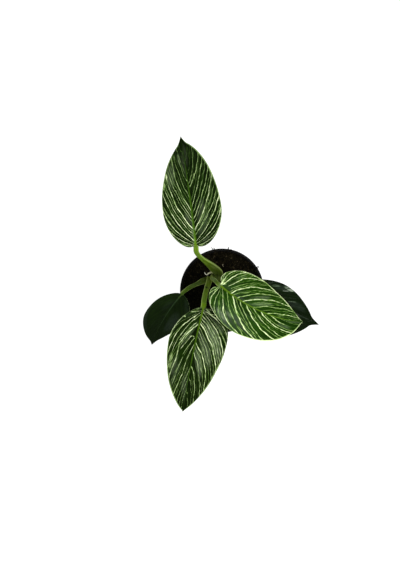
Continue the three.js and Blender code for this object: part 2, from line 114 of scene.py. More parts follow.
# The bold pinstripes of each striped leaf half: the vein that a stripe lies on at the midrib,
# halfway and at the margin, its half width in veins, and how pale it is. Vein 0 is the base
# lobe and vein 1 the tip. A short stripe also has the reaches where it begins and ends.
STRIPES = {
    "back": {
        "left": [
            (0.10, 0.07, 0.06, 0.010, 0.6), (0.19, 0.145, 0.14, 0.012, 0.7),
            (0.18, 0.26, 0.30, 0.014, 1.0), (0.28, 0.215, 0.22, 0.006, 0.5),
            (0.31, 0.335, 0.355, 0.007, 0.5), (0.35, 0.395, 0.435, 0.013, 1.0),
            (0.46, 0.457, 0.47, 0.006, 0.6), (0.507, 0.505, 0.53, 0.007, 1.0),
            (0.53, 0.53, 0.545, 0.005, 0.45), (0.548, 0.553, 0.575, 0.006, 0.85),
            (0.568, 0.577, 0.60, 0.005, 0.6), (0.592, 0.603, 0.655, 0.010, 1.0),
            (0.64, 0.645, 0.665, 0.005, 0.65), (0.67, 0.675, 0.695, 0.007, 0.85),
            (0.698, 0.705, 0.72, 0.005, 0.6), (0.724, 0.733, 0.79, 0.008, 0.95),
            (0.765, 0.768, 0.79, 0.005, 0.4), (0.798, 0.80, 0.83, 0.006, 0.7),
            (0.83, 0.83, 0.85, 0.005, 0.35), (0.868, 0.86, 0.885, 0.007, 0.75),
            (0.93, 0.91, 0.90, 0.004, 0.4), (0.965, 0.935, 0.92, 0.005, 0.5),
        ],
        "right": [
            (0.10, 0.10, 0.14, 0.010, 0.8), (0.13, 0.20, 0.29, 0.015, 1.0),
            (0.27, 0.295, 0.33, 0.008, 0.5), (0.05, 0.04, 0.05, 0.008, 0.5),
            (0.34, 0.37, 0.42, 0.013, 1.0), (0.43, 0.428, 0.435, 0.006, 0.5),
            (0.50, 0.475, 0.475, 0.009, 1.0), (0.55, 0.533, 0.505, 0.006, 0.75),
            (0.575, 0.562, 0.545, 0.005, 0.55), (0.585, 0.586, 0.59, 0.009, 1.0),
            (0.632, 0.623, 0.605, 0.005, 0.65), (0.663, 0.653, 0.635, 0.007, 0.85),
            (0.70, 0.687, 0.67, 0.006, 0.65), (0.742, 0.73, 0.70, 0.007, 0.9),
            (0.775, 0.76, 0.735, 0.005, 0.45), (0.85, 0.785, 0.75, 0.007, 0.85),
            (0.865, 0.825, 0.835, 0.006, 0.75), (0.895, 0.865, 0.86, 0.005, 0.45),
            (0.945, 0.91, 0.89, 0.005, 0.4),
        ],
    },
    "right": {
        "left": [
            (0.11, 0.05, 0.07, 0.009, 0.9), (0.17, 0.105, 0.14, 0.010, 0.95),
            (0.24, 0.165, 0.255, 0.018, 1.0), (0.315, 0.298, 0.35, 0.013, 1.0),
            (0.28, 0.235, 0.31, 0.006, 0.6), (0.34, 0.345, 0.385, 0.005, 0.5),
            (0.46, 0.385, 0.42, 0.006, 0.3), (0.53, 0.407, 0.50, 0.011, 1.0, 0.1, 2),
            (0.16, 0.165, 0.20, 0.040, 1.0, 0.05, 0.42), (0.33, 0.29, 0.30, 0.018, 1.0, 0.05, 0.5),
            (0.545, 0.495, 0.52, 0.005, 0.55, 0.1, 2), (0.56, 0.515, 0.54, 0.004, 0.6),
            (0.582, 0.54, 0.625, 0.009, 1.0), (0.60, 0.583, 0.64, 0.005, 0.5),
            (0.64, 0.618, 0.69, 0.007, 0.75), (0.695, 0.69, 0.79, 0.010, 1.0),
            (0.735, 0.735, 0.82, 0.006, 0.35), (0.775, 0.78, 0.85, 0.007, 0.8),
            (0.82, 0.825, 0.88, 0.005, 0.45), (0.855, 0.868, 0.915, 0.009, 0.9),
            (0.90, 0.905, 0.93, 0.005, 0.5), (0.945, 0.94, 0.95, 0.005, 0.5),
        ],
        "right": [
            (0.12, 0.06, 0.08, 0.009, 0.8), (0.19, 0.13, 0.15, 0.010, 0.85),
            (0.26, 0.195, 0.24, 0.014, 1.0), (0.34, 0.28, 0.325, 0.009, 0.75),
            (0.40, 0.35, 0.36, 0.006, 0.5), (0.50, 0.411, 0.455, 0.010, 1.0),
            (0.55, 0.50, 0.47, 0.006, 0.6), (0.60, 0.553, 0.522, 0.010, 1.0),
            (0.63, 0.588, 0.545, 0.005, 0.6), (0.67, 0.615, 0.575, 0.006, 0.75),
            (0.722, 0.667, 0.65, 0.010, 1.0), (0.74, 0.702, 0.685, 0.004, 0.5),
            (0.775, 0.732, 0.705, 0.006, 0.85), (0.83, 0.783, 0.795, 0.009, 1.0),
            (0.845, 0.81, 0.82, 0.005, 0.55), (0.885, 0.852, 0.86, 0.008, 0.85, 0.0, 0.62),
            (0.92, 0.905, 0.91, 0.005, 0.5),
        ],
    },
    "front": {
        "left": [
            (0.20, 0.10, 0.055, 0.020, 0.7), (0.40, 0.215, 0.115, 0.013, 1.0),
            (0.45, 0.29, 0.30, 0.009, 0.65), (0.335, 0.36, 0.405, 0.014, 1.0),
            (0.33, 0.352, 0.40, 0.035, 1.0, 0.1, 0.42), (0.44, 0.438, 0.45, 0.005, 0.8),
            (0.502, 0.483, 0.51, 0.011, 1.0), (0.525, 0.517, 0.53, 0.004, 0.8),
            (0.547, 0.54, 0.56, 0.005, 0.9), (0.572, 0.567, 0.58, 0.004, 0.8),
            (0.59, 0.588, 0.61, 0.009, 1.0), (0.62, 0.618, 0.635, 0.004, 0.6),
            (0.645, 0.653, 0.665, 0.005, 0.85), (0.685, 0.682, 0.70, 0.004, 0.7),
            (0.74, 0.715, 0.76, 0.009, 1.0), (0.76, 0.75, 0.79, 0.004, 0.6),
            (0.795, 0.79, 0.81, 0.006, 0.9), (0.86, 0.855, 0.885, 0.007, 0.9),
            (0.905, 0.90, 0.92, 0.004, 0.6), (0.945, 0.94, 0.95, 0.004, 0.6),
        ],
        "right": [
            (0.15, 0.08, 0.06, 0.022, 0.7), (0.36, 0.20, 0.19, 0.016, 0.75, 0.0, 0.62),
            (0.50, 0.31, 0.21, 0.013, 0.75, 0.6, 2), (0.42, 0.345, 0.36, 0.006, 0.55),
            (0.465, 0.431, 0.51, 0.010, 1.0), (0.525, 0.50, 0.585, 0.006, 0.95),
            (0.56, 0.536, 0.55, 0.005, 0.85, 0.1, 0.56),
            (0.59, 0.555, 0.58, 0.009, 1.0, 0.05, 0.58),
            (-0.515, 0.50, 0.515, 0.019, 0.9, 0.57, 0.71),
            (0.58, 0.605, 0.652, 0.010, 1.0, 0.7, 1.0),
            (0.742, 0.592, 0.942, 0.006, 0.7, 0.09, 0.24),
            (0.635, 0.602, 0.60, 0.005, 0.95, 0.2, 0.52),
            (0.685, 0.665, 0.68, 0.006, 0.8, 0.08, 0.45),
            (0.60, 0.685, 0.715, 0.006, 0.8, 0.45, 0.95),
            (0.732, 0.767, 0.802, 0.008, 0.9, 0.05, 0.31),
            (0.706, 0.791, 0.876, 0.009, 0.9, 0.31, 0.51),
            (0.80, 0.793, 0.778, 0.009, 1.0, 0.51, 1.0),
            (0.66, 0.735, 0.735, 0.004, 0.7, 0.5, 0.95),
            (0.87, 0.868, 0.855, 0.006, 0.85), (0.83, 0.83, 0.82, 0.004, 0.6, 0.2, 0.9),
            (0.91, 0.905, 0.91, 0.005, 0.7), (0.95, 0.945, 0.95, 0.005, 0.75),
        ],
    },
    "low_left": {
        "left": [(0.30, 0.30, 0.33, 0.006, 0.16), (0.60, 0.61, 0.65, 0.005, 0.12)],
        "right": [(0.33, 0.34, 0.37, 0.006, 0.14), (0.56, 0.56, 0.60, 0.005, 0.12)],
    },
    "low_right": {
        "left": [(0.54, 0.55, 0.58, 0.006, 0.22), (0.62, 0.63, 0.68, 0.006, 0.3),
                 # Of this half's stripes, the three short bright ones are painted glints,
                 # highlights off the quilted wax.
                 (0.73, 0.74, 0.78, 0.006, 0.22), (0.595, 0.595, 0.60, 0.006, 0.9, 0.74, 0.9),
                 (0.50, 0.503, 0.505, 0.005, 0.7, 0.66, 0.84),
                 (0.745, 0.747, 0.75, 0.005, 0.6, 0.6, 0.78)],
        "right": [(0.58, 0.60, 0.64, 0.005, 0.2), (0.70, 0.72, 0.76, 0.005, 0.2)],
    },
}
# Places where a leaf half is streaked all over: the vein and reach of the middle, the radius
# in veins and in reach, and the strength. Pale ones are unripe margins and stray white cells,
# but the low right leaf's left-half ones are painted glints; the second table is a painted grey
# sheen.
PALE_CELLS_AND_GLINTS = {
    "back": {"left": [(0.22, 1.0, 0.16, 0.16, 0.7), (0.56, 1.0, 0.06, 0.10, 0.6),
                      (0.66, 0.93, 0.03, 0.05, 0.7), (0.79, 0.92, 0.06, 0.08, 0.5),
                      (0.15, 0.55, 0.09, 0.45, 0.4), (0.62, 0.93, 0.06, 0.08, 0.5)],
             "right": [(0.30, 1.0, 0.18, 0.17, 0.7), (0.60, 1.0, 0.07, 0.07, 0.6),
                       (0.79, 0.47, 0.015, 0.07, 0.9), (0.82, 0.27, 0.015, 0.05, 0.8),
                       (0.15, 0.30, 0.07, 0.28, 0.5), (0.88, 0.75, 0.05, 0.2, 0.3)]},
    "right": {"left": [(0.24, 0.10, 0.18, 0.07, 1.0), (0.38, 0.98, 0.16, 0.10, 1.0),
                       (0.13, 0.25, 0.13, 0.33, 0.7)],
              "right": [(0.355, 0.45, 0.035, 0.16, 0.35), (0.45, 0.17, 0.05, 0.05, 0.5),
                        (0.13, 0.28, 0.10, 0.33, 0.5)]},
    "front": {"left": [(0.34, 0.22, 0.04, 0.16, 0.6), (0.60, 1.0, 0.30, 0.08, 0.6),
                       (0.22, 0.17, 0.15, 0.08, 0.9)],
              "right": [(0.455, 0.18, 0.04, 0.05, 0.9), (0.57, 0.86, 0.06, 0.12, 0.6),
                        (0.18, 0.35, 0.12, 0.33, 0.35), (0.32, 1.0, 0.16, 0.14, 1.0)]},
    "low_left": {"left": [(0.24, 1.0, 0.25, 0.09, 1.5), (0.22, 0.5, 0.12, 0.3, 0.15)],
                 "right": [(0.55, 0.2, 0.1, 0.12, 0.12)]},
    # The low right leaf's left-half patches are painted glints, highlights off its wax.
    "low_right": {"left": [(0.56, 0.94, 0.06, 0.09, 1.0), (0.50, 0.78, 0.03, 0.12, 0.5)],
                  "right": [(0.62, 0.5, 0.1, 0.2, 0.1)]},
}
# Painted grey sheen: reflected light painted into each leaf's colour.
PAINTED_SHEEN = {
    "back": {"left": [(0.91, 0.25, 0.06, 0.4, 0.2), (0.63, 0.15, 0.04, 0.12, 0.4),
                      (0.87, 0.68, 0.03, 0.2, 0.5), (0.70, 0.80, 0.10, 0.2, 0.5)],
             "right": [(0.93, 0.45, 0.05, 0.4, 0.25), (0.62, 0.3, 0.06, 0.2, 0.35),
                       (0.53, 0.3, 0.04, 0.25, 0.35), (0.28, 0.35, 0.05, 0.2, 0.35)]},
    "right": {"left": [(0.74, 0.32, 0.035, 0.3, 0.6), (0.665, 0.45, 0.03, 0.3, 0.55),
                       (0.37, 0.55, 0.03, 0.25, 0.4)],
              "right": [(0.37, 0.66, 0.06, 0.14, 0.9), (0.47, 0.5, 0.05, 0.08, 0.5),
                        (0.83, 0.68, 0.04, 0.2, 0.5), (0.95, 0.5, 0.05, 0.5, 0.4)]},
    "front": {"left": [(0.54, 0.5, 0.07, 0.5, 0.8), (0.66, 0.38, 0.06, 0.42, 0.6),
                       (0.77, 0.32, 0.05, 0.38, 0.7), (0.42, 0.45, 0.05, 0.3, 0.5)],
              "right": [(0.30, 0.93, 0.14, 0.16, 0.4), (0.57, 0.3, 0.05, 0.3, 0.3),
                        (0.63, 0.75, 0.05, 0.2, 0.4), (0.87, 0.45, 0.05, 0.25, 0.35),
                        (0.70, 0.75, 0.04, 0.3, 0.3), (0.93, 0.3, 0.05, 0.3, 0.3)]},
    "low_left": {"left": [(0.70, 0.55, 0.16, 0.35, 0.6), (0.30, 0.5, 0.15, 0.35, 0.35)],
                 "right": [(0.45, 0.93, 0.35, 0.12, 0.5), (0.60, 0.2, 0.1, 0.2, 0.2)]},
    "low_right": {"left": [(0.55, 0.85, 0.08, 0.2, 0.4), (0.80, 0.7, 0.08, 0.25, 0.3)],
                  "right": []},
}
RIGHT_HALF = 2.0        # added to a right half's veins on its map, so that the halves stay apart

# ---------------------------------------------------------------- small helpers


def mix(start, end, share):
    return start + (end - start) * share


def smoothstep(value, low=0.0, high=1.0):
    share = np.clip((value - low) / (high - low), 0, 1)
    return share * share * (3 - 2 * share)


def unit(vectors):
    return vectors / np.maximum(np.linalg.norm(vectors, axis=-1, keepdims=True), 1e-9)


def cell_value(x, y, seed):
    n = np.sin(x * 127.1 + y * 311.7 + seed * 74.7) * 43758.5453
    return 2 * (n - np.floor(n)) - 1


def noise(x, y, seed):
    """Repeatable noise from -1 to 1: a value at each whole-number cell, blended between."""
    cx, cy = np.floor(x), np.floor(y)
    fx, fy = smoothstep(x - cx), smoothstep(y - cy)
    low = mix(cell_value(cx, cy, seed), cell_value(cx + 1, cy, seed), fx)
    high = mix(cell_value(cx, cy + 1, seed), cell_value(cx + 1, cy + 1, seed), fx)
    return mix(low, high, fy)


def smooth_route(points, steps):
    """steps + 1 evenly spaced points on a centripetal Catmull-Rom curve, with directions."""
    p = np.array(points, float)
    p = np.vstack([2 * p[0] - p[1], p, 2 * p[-1] - p[-2]])
    share = np.linspace(0, 1, 41)[:, None]
    dense = [p[1][None]]
    for p0, p1, p2, p3 in zip(p, p[1:], p[2:], p[3:]):
        d0, d1, d2 = (math.sqrt(np.linalg.norm(b - a)) for a, b in ((p0, p1), (p1, p2), (p2, p3)))
        leave = d1 * ((p1 - p0) / d0 - (p2 - p0) / (d0 + d1) + (p2 - p1) / d1)
        arrive = d1 * ((p2 - p1) / d1 - (p3 - p1) / (d1 + d2) + (p3 - p2) / d2)
        cubed, squared = share ** 3, share ** 2
        dense.append(((2 * cubed - 3 * squared + 1) * p1 + (cubed - 2 * squared + share) * leave
                      + (3 * squared - 2 * cubed) * p2 + (cubed - squared) * arrive)[1:])
    dense = np.vstack(dense)
    run = np.concatenate([[0], np.cumsum(np.linalg.norm(np.diff(dense, axis=0), axis=1))])
    even = np.linspace(0, run[-1], steps + 1)
    route = np.stack([np.interp(even, run, dense[:, i]) for i in range(3)], -1)
    return route, unit(np.gradient(route, axis=0))


def mesh_piece(name, points, faces, material, maps=None):
    """A smooth-shaded mesh. maps names its UV maps, each with a pair for every face corner."""
    mesh = bpy.data.meshes.new(name)
    mesh.from_pydata((np.asarray(points, float) * MM).tolist(), [], [list(f) for f in faces])
    for map_name, pairs in (maps or {}).items():
        layer = mesh.uv_layers.new(name=map_name)
        layer.data.foreach_set("uv", np.asarray(pairs, np.float32).ravel())
    mesh.polygons.foreach_set("use_smooth", [True] * len(mesh.polygons))
    mesh.materials.append(material)
    piece = bpy.data.objects.new(name, mesh)
    bpy.context.scene.collection.objects.link(piece)
    return piece


def seat(piece, slot, *nodes):
    """Fastens a finished piece to the plant in place of the frame's nodes."""
    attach(piece, "root")
    if nodes:
        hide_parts(*nodes)
    return piece


def grid_faces(rows, columns, closed=False):
    """Quads between neighbouring points of a grid that lists its points row by row."""
    row, column = np.meshgrid(np.arange(rows - 1), np.arange(columns - (not closed)), indexing="ij")
    after = (column + 1) % columns
    corners = [row * columns + column, row * columns + after,
               (row + 1) * columns + after, (row + 1) * columns + column]
    return np.stack(corners, -1).reshape(-1, 4)


def full_turn(sides):
    """Evenly spaced angles round a ring, in radians."""
    return np.linspace(0, 2 * math.pi, sides, endpoint=False)


def polar(radius, angle):
    """The x and y of a place given by its radius and its angle about the pot's axis."""
    return radius * math.cos(angle), radius * math.sin(angle)


def turned_rings(profile, turn):
    """Rings of a profile of radius and height pairs, turned about the pot's axis."""
    radius, height = np.array(profile, float).T[..., None]
    return np.stack(np.broadcast_arrays(radius * np.cos(turn), radius * np.sin(turn), height), -1)


def ring_directions(ahead, towards):
    """Two directions square to each step of a route: one as near as it can to towards."""
    wide = unit(towards - ahead * (ahead @ towards)[:, None])
    return wide, np.cross(ahead, wide)


def swept_rings(route, wide, deep, across, rise):
    """Rings along a route, each point so far out along its ring's two directions."""
    return route[:, None] + wide[:, None] * across[..., None] + deep[:, None] * rise[..., None]


def tube(rings):
    """Points and faces of a closed skin over a list of equal closed rings."""
    rings = np.asarray(rings, float)
    rows, columns = rings.shape[:2]
    faces = [tuple(f) for f in grid_faces(rows, columns, closed=True)]
    points = np.vstack([rings.reshape(-1, 3), rings[0].mean(0), rings[-1].mean(0)])
    foot, top, last = len(points) - 2, len(points) - 1, (rows - 1) * columns
    for k in range(columns):
        after = (k + 1) % columns
        faces.append((foot, after, k))
        faces.append((top, last + k, last + after))
    return points, faces


def tube_map(faces, rows, columns):
    """A UV pair for each face corner of a tube: the share round it and the share along it."""
    pairs = []
    for face in faces:
        spots = [(i % columns, i // columns) for i in face if i < rows * columns]
        across_seam = max(s[0] for s in spots) - min(s[0] for s in spots) > 1
        for i in face:
            if i >= rows * columns:
                pairs.append((0.25, float(i > rows * columns)))
                continue
            around, along = i % columns, i // columns
            around += columns if across_seam and around == 0 else 0
            pairs.append((around / columns, along / (rows - 1)))
    return pairs


def tube_piece(name, rings, material):
    """A closed tube over its rings, with a map of the shares round it and along it."""
    points, faces = tube(rings)
    return mesh_piece(name, points, faces, material,
                      {"length": tube_map(faces, *rings.shape[:2])})


# ---------------------------------------------------------------- materials

CHANNEL_PLACE = 0.25     # the middle of a stalk's channel, as a share of the way round it
SPECK_SPACING = 4.5      # mm between the corky specks of a stalk


def srgb(code):
    """An sRGB hex colour as linear red, green, blue and alpha."""
    shares = [int(code[i:i + 2], 16) / 255 for i in (1, 3, 5)]
    return (*(s / 12.92 if s <= 0.04045 else ((s + 0.055) / 1.055) ** 2.4 for s in shares), 1.0)


def node(tree, kind, inputs=None, stops=None, **settings):
    """Adds a shader node with its settings and feeds its inputs with values, nodes or sockets."""
    made = tree.nodes.new("ShaderNode" + kind)
    for setting, value in settings.items():
        setattr(made, setting, value)
    if stops:
        for _ in stops[2:]:
            made.color_ramp.elements.new(0.5)
        for element, (place, colour) in zip(made.color_ramp.elements, stops):
            element.position, element.color = place, srgb(colour)
    for key, value in (inputs or {}).items():
        named = [s for s in made.inputs if s.enabled and s.name == key]
        socket = made.inputs[key] if isinstance(key, int) else named[0]
        if isinstance(value, bpy.types.Node):
            value = next(s for s in value.outputs if s.enabled)
        if isinstance(value, bpy.types.NodeSocket):
            tree.links.new(value, socket)
        else:
            socket.default_value = value
    return made


def blank_material(name):
    material = bpy.data.materials.new(name)
    material.use_nodes = True
    material.node_tree.nodes.clear()
    return material, material.node_tree


def lanes_of(tree, map_name):
    """The two lanes of one of the piece's UV maps."""
    pair = node(tree, "SeparateXYZ", {"Vector": node(tree, "UVMap", uv_map=map_name)})
    return pair.outputs["X"], pair.outputs["Y"]


def streaked(tree, across, along, lanes, breaks, detail=2.0, start=0.0):
    """Tissue drawn out in streaks: so many lanes across the piece and breaks along it."""
    spot = node(tree, "CombineXYZ", {
        "X": node(tree, "Math", {0: across, 1: lanes}, operation="MULTIPLY"),
        "Y": node(tree, "Math", {0: along, 1: breaks}, operation="MULTIPLY"), "Z": start})
    return node(tree, "TexNoise", {"Vector": spot, "Scale": 1.0, "Detail": detail})


def grained(tree, size, detail, **more):
    """An uneven grain of so many mm, the same in every direction."""
    return node(tree, "TexNoise", {"Vector": node(tree, "TexCoord").outputs["Object"],
                                   "Scale": 1 / (size * MM), "Detail": detail} | more)


def laid_over(tree, under, colour, value, start, end, most=1.0, least=0.0):
    """A colour laid over another, from least to most as a value goes from start to end."""
    share = node(tree, "MapRange", {"Value": value, "From Min": start, "From Max": end,
                                    "To Min": least, "To Max": most})
    top = srgb(colour) if isinstance(colour, str) else colour
    return node(tree, "Mix", {"Factor": share, "A": under, "B": top}, data_type="RGBA")


def finished(material, colour, relief, strength, depth, surface):
    """Ends a material: its colour, its relief of so many mm, and how it takes the light."""
    tree = material.node_tree
    bump = node(tree, "Bump", {"Height": relief, "Strength": strength, "Distance": depth * MM})
    skin = node(tree, "BsdfPrincipled", {"Base Color": colour, "Normal": bump} | surface)
    node(tree, "OutputMaterial", {"Surface": skin})
    return material


def in_threes(tree, value):
    """The same value in the X, Y and Z lanes of a vector."""
    return node(tree, "CombineXYZ", {"X": value, "Y": value, "Z": value})


def stripe_sum(tree, vein, reach, stripes):
    """How pale the stripes make a place. Three stripes at a time share the X, Y and Z lanes."""
    veins, reaches = in_threes(tree, vein), in_threes(tree, reach)
    none = (9, 9, 9, 1, 0, 0, 1)
    whole = [tuple(s) + (-1, 2) for s in stripes if len(s) == 5]
    short = [tuple(s) for s in stripes if len(s) > 5]
    trios = [(group[k:k + 3] + [none, none])[:3]
             for group in (whole, short) for k in range(0, len(group), 3)]
    total = 0.0
    for trio in trios:
        foot, middle, end, half, strength, start, stop = (np.array(v) for v in zip(*trio))
        bend = 2 * foot - 4 * middle + 2 * end
        lean = 4 * middle - 3 * foot - end
        course = node(tree, "VectorMath", {0: reaches, 1: tuple(bend), 2: tuple(lean)},
                      operation="MULTIPLY_ADD")
        course = node(tree, "VectorMath", {0: course, 1: reaches, 2: tuple(foot)},
                      operation="MULTIPLY_ADD")
        apart = node(tree, "VectorMath", {0: veins, 1: course}, operation="SUBTRACT")
        apart = node(tree, "VectorMath", {0: apart}, operation="ABSOLUTE")
        pale = node(tree, "MapRange", {"Vector": apart, "From Min": tuple(half * 0.85),
                                       "From Max": tuple(half * 0.1), "To Min": (0, 0, 0),
                                       "To Max": tuple(strength)},
                    data_type="FLOAT_VECTOR", interpolation_type="SMOOTHSTEP")
        if min(start) >= 0:
            run_in, run_out = (node(tree, "MapRange", {
                "Vector": reaches, "From Min": tuple(outer), "From Max": tuple(inner),
                "To Min": (0, 0, 0), "To Max": (1, 1, 1)}, data_type="FLOAT_VECTOR")
                for outer, inner in ((start - 0.02, start + 0.02), (stop + 0.02, stop - 0.02)))
            pale = node(tree, "VectorMath", {0: pale, 1: run_in}, operation="MULTIPLY")
            pale = node(tree, "VectorMath", {0: pale, 1: run_out}, operation="MULTIPLY")
        lanes = node(tree, "VectorMath", {0: pale, 1: (1, 1, 1)}, operation="DOT_PRODUCT")
        total = node(tree, "Math", {0: lanes.outputs["Value"], 1: total}, operation="ADD")
    return total


def pinstripes(tree, vein, sway, lanes, line_share):
    """A pale hairline in the middle of each of so many lanes, with a strength of its own."""
    lane = node(tree, "Math", {0: vein, 1: float(lanes), 2: sway}, operation="MULTIPLY_ADD")
    own = node(tree, "TexWhiteNoise", {"W": node(tree, "Math", {0: lane}, operation="FLOOR")},
               noise_dimensions="1D")
    strength = node(tree, "MapRange", {"Value": own, "From Min": 0.1, "From Max": 0.8,
                                       "To Min": 0.2, "To Max": 1.0})
    off_middle = node(tree, "Math", {0: node(tree, "Math", {0: lane}, operation="FRACT"),
                                     1: 0.5}, operation="SUBTRACT")
    off_middle = node(tree, "Math", {0: off_middle}, operation="ABSOLUTE")
    line = node(tree, "MapRange", {"Value": off_middle, "From Min": line_share / 2,
                                   "From Max": line_share / 10}, interpolation_type="SMOOTHSTEP")
    return node(tree, "Math", {0: line, 1: strength}, operation="MULTIPLY")


def patch_sum(tree, vein, reach, patches):
    """How strong the patches are at a place, three at a time, each fading out as an ellipse."""
    veins, reaches = in_threes(tree, vein), in_threes(tree, reach)
    total = 0.0
    for k in range(0, len(patches), 3):
        trio = (patches[k:k + 3] + [(9, 9, 1, 1, 0)] * 2)[:3]
        at, out, across, along, strength = (np.array(v, float) for v in zip(*trio))
        dx = node(tree, "VectorMath", {0: veins, 1: tuple(1 / across), 2: tuple(-at / across)},
                  operation="MULTIPLY_ADD")
        dy = node(tree, "VectorMath", {0: reaches, 1: tuple(1 / along), 2: tuple(-out / along)},
                  operation="MULTIPLY_ADD")
        squared = node(tree, "VectorMath", {0: dy, 1: dy}, operation="MULTIPLY")
        squared = node(tree, "VectorMath", {0: dx, 1: dx, 2: squared}, operation="MULTIPLY_ADD")
        near = node(tree, "MapRange", {"Vector": squared, "From Min": (1, 1, 1),
                                       "From Max": (0.1, 0.1, 0.1), "To Min": (0, 0, 0),
                                       "To Max": tuple(strength)},
                    data_type="FLOAT_VECTOR", interpolation_type="SMOOTHSTEP")
        lanes = node(tree, "VectorMath", {0: near, 1: (1, 1, 1)}, operation="DOT_PRODUCT")
        total = node(tree, "Math", {0: lanes.outputs["Value"], 1: total}, operation="ADD")
    return total


def both_halves(marks, places):
    """A leaf's marks on one map: the right half's veins, which each mark lists first in so
    many places, go on from RIGHT_HALF."""
    moved = [tuple(v + RIGHT_HALF for v in m[:places]) + m[places:] for m in marks["right"]]
    return marks["left"] + moved


def vein_streaks(tree, place, lanes, breaks, start, end, least, most):
    """Streaks along the veins, from least to most as their noise goes from start to end."""
    return node(tree, "MapRange", {"Value": streaked(tree, *place, lanes, breaks),
                                   "From Min": start, "From Max": end,
                                   "To Min": least, "To Max": most})


def bold_stripes(tree, place, stripes):
    """The bold pinstripes: each wanders a little and is broken into dashes where its white
    cells ran out."""
    vein, reach = place
    wander = node(tree, "Math", {0: streaked(tree, *place, 12, 5), 1: 0.5}, operation="SUBTRACT")
    wandering = node(tree, "Math", {0: wander, 1: 0.032, 2: vein}, operation="MULTIPLY_ADD")
    bold = stripe_sum(tree, wandering, reach, stripes)
    dashes = vein_streaks(tree, place, 60, 8, 0.36, 0.54, 0.5, 1.0)
    return node(tree, "Math", {0: bold, 1: dashes}, operation="MULTIPLY")


def hairlines(tree, place, strength):
    """The fine pinstripes between the bold ones. There is no room for them where the lanes
    crowd together at the leaf's base."""
    vein, reach = place
    pins = pinstripes(tree, vein, streaked(tree, *place, 7, 2.5), 42, 0.46)
    gaps = vein_streaks(tree, place, 80, 11, 0.38, 0.55, 0.4 * strength, strength)
    fine = node(tree, "Math", {0: pins, 1: gaps}, operation="MULTIPLY")
    half_vein = node(tree, "Math", {0: vein, 1: RIGHT_HALF}, operation="MODULO")
    crowded = node(tree, "MapRange", {"Value": half_vein, "From Min": 0.5, "From Max": 0.3,
                                      "To Min": 0.0, "To Max": 0.55})
    room = node(tree, "Math", {0: reach, 1: crowded}, operation="SUBTRACT")
    room = node(tree, "MapRange", {"Value": room, "From Min": 0.0, "From Max": 0.25})
    return node(tree, "Math", {0: fine, 1: room}, operation="MULTIPLY")


def pale_markings(tree, name, tones, place, along, sheen_cover, pin_share):
    """How pale each place of a blade is: its stripes and speckles, which fade towards the tip,
    and the margin's broken pale line. On the low right leaf some are painted glints, and under
    the painted sheen the fine stripes are painted brighter."""
    bold = bold_stripes(tree, place, both_halves(STRIPES[name], 3))
    # Under the painted sheen the fine stripes are painted brighter.
    lit = node(tree, "Math", {0: sheen_cover, 1: tones["sheen_line_lift"], 2: 1.0}, operation="MULTIPLY_ADD")
    fine = node(tree, "Math", {0: hairlines(tree, place, pin_share), 1: lit},
                operation="MULTIPLY")
    pale = node(tree, "Math", {0: bold, 1: fine}, operation="MAXIMUM")
    # Speckled patches: stray white cells and pale margins, and on the low right leaf painted
    # glints.
    speckled = patch_sum(tree, *place, both_halves(PALE_CELLS_AND_GLINTS[name], 1))
    grit = vein_streaks(tree, place, 110, 7, 0.4, 0.6, 0.15, 1.0)
    speckled = node(tree, "Math", {0: speckled, 1: grit}, operation="MULTIPLY")
    pale = node(tree, "Math", {0: pale, 1: speckled}, operation="MAXIMUM")
    fade = node(tree, "MapRange", {"Value": along, "From Min": 0.05, "From Max": 0.85,
                                   "To Min": 1.15, "To Max": tones["tip_stripes"]})
    pale = node(tree, "Math", {0: pale, 1: fade}, operation="MULTIPLY")
    edge = node(tree, "MapRange", {"Value": place[1], "From Min": 0.955, "From Max": 0.985,
                                   "To Min": 0.0, "To Max": tones["edge_share"]})
    broken = vein_streaks(tree, place, 9, 1, 0.35, 0.55, 0.4, 1.0)
    edge = node(tree, "Math", {0: edge, 1: broken}, operation="MULTIPLY")
    return node(tree, "Math", {0: pale, 1: edge}, operation="MAXIMUM", use_clamp=True)


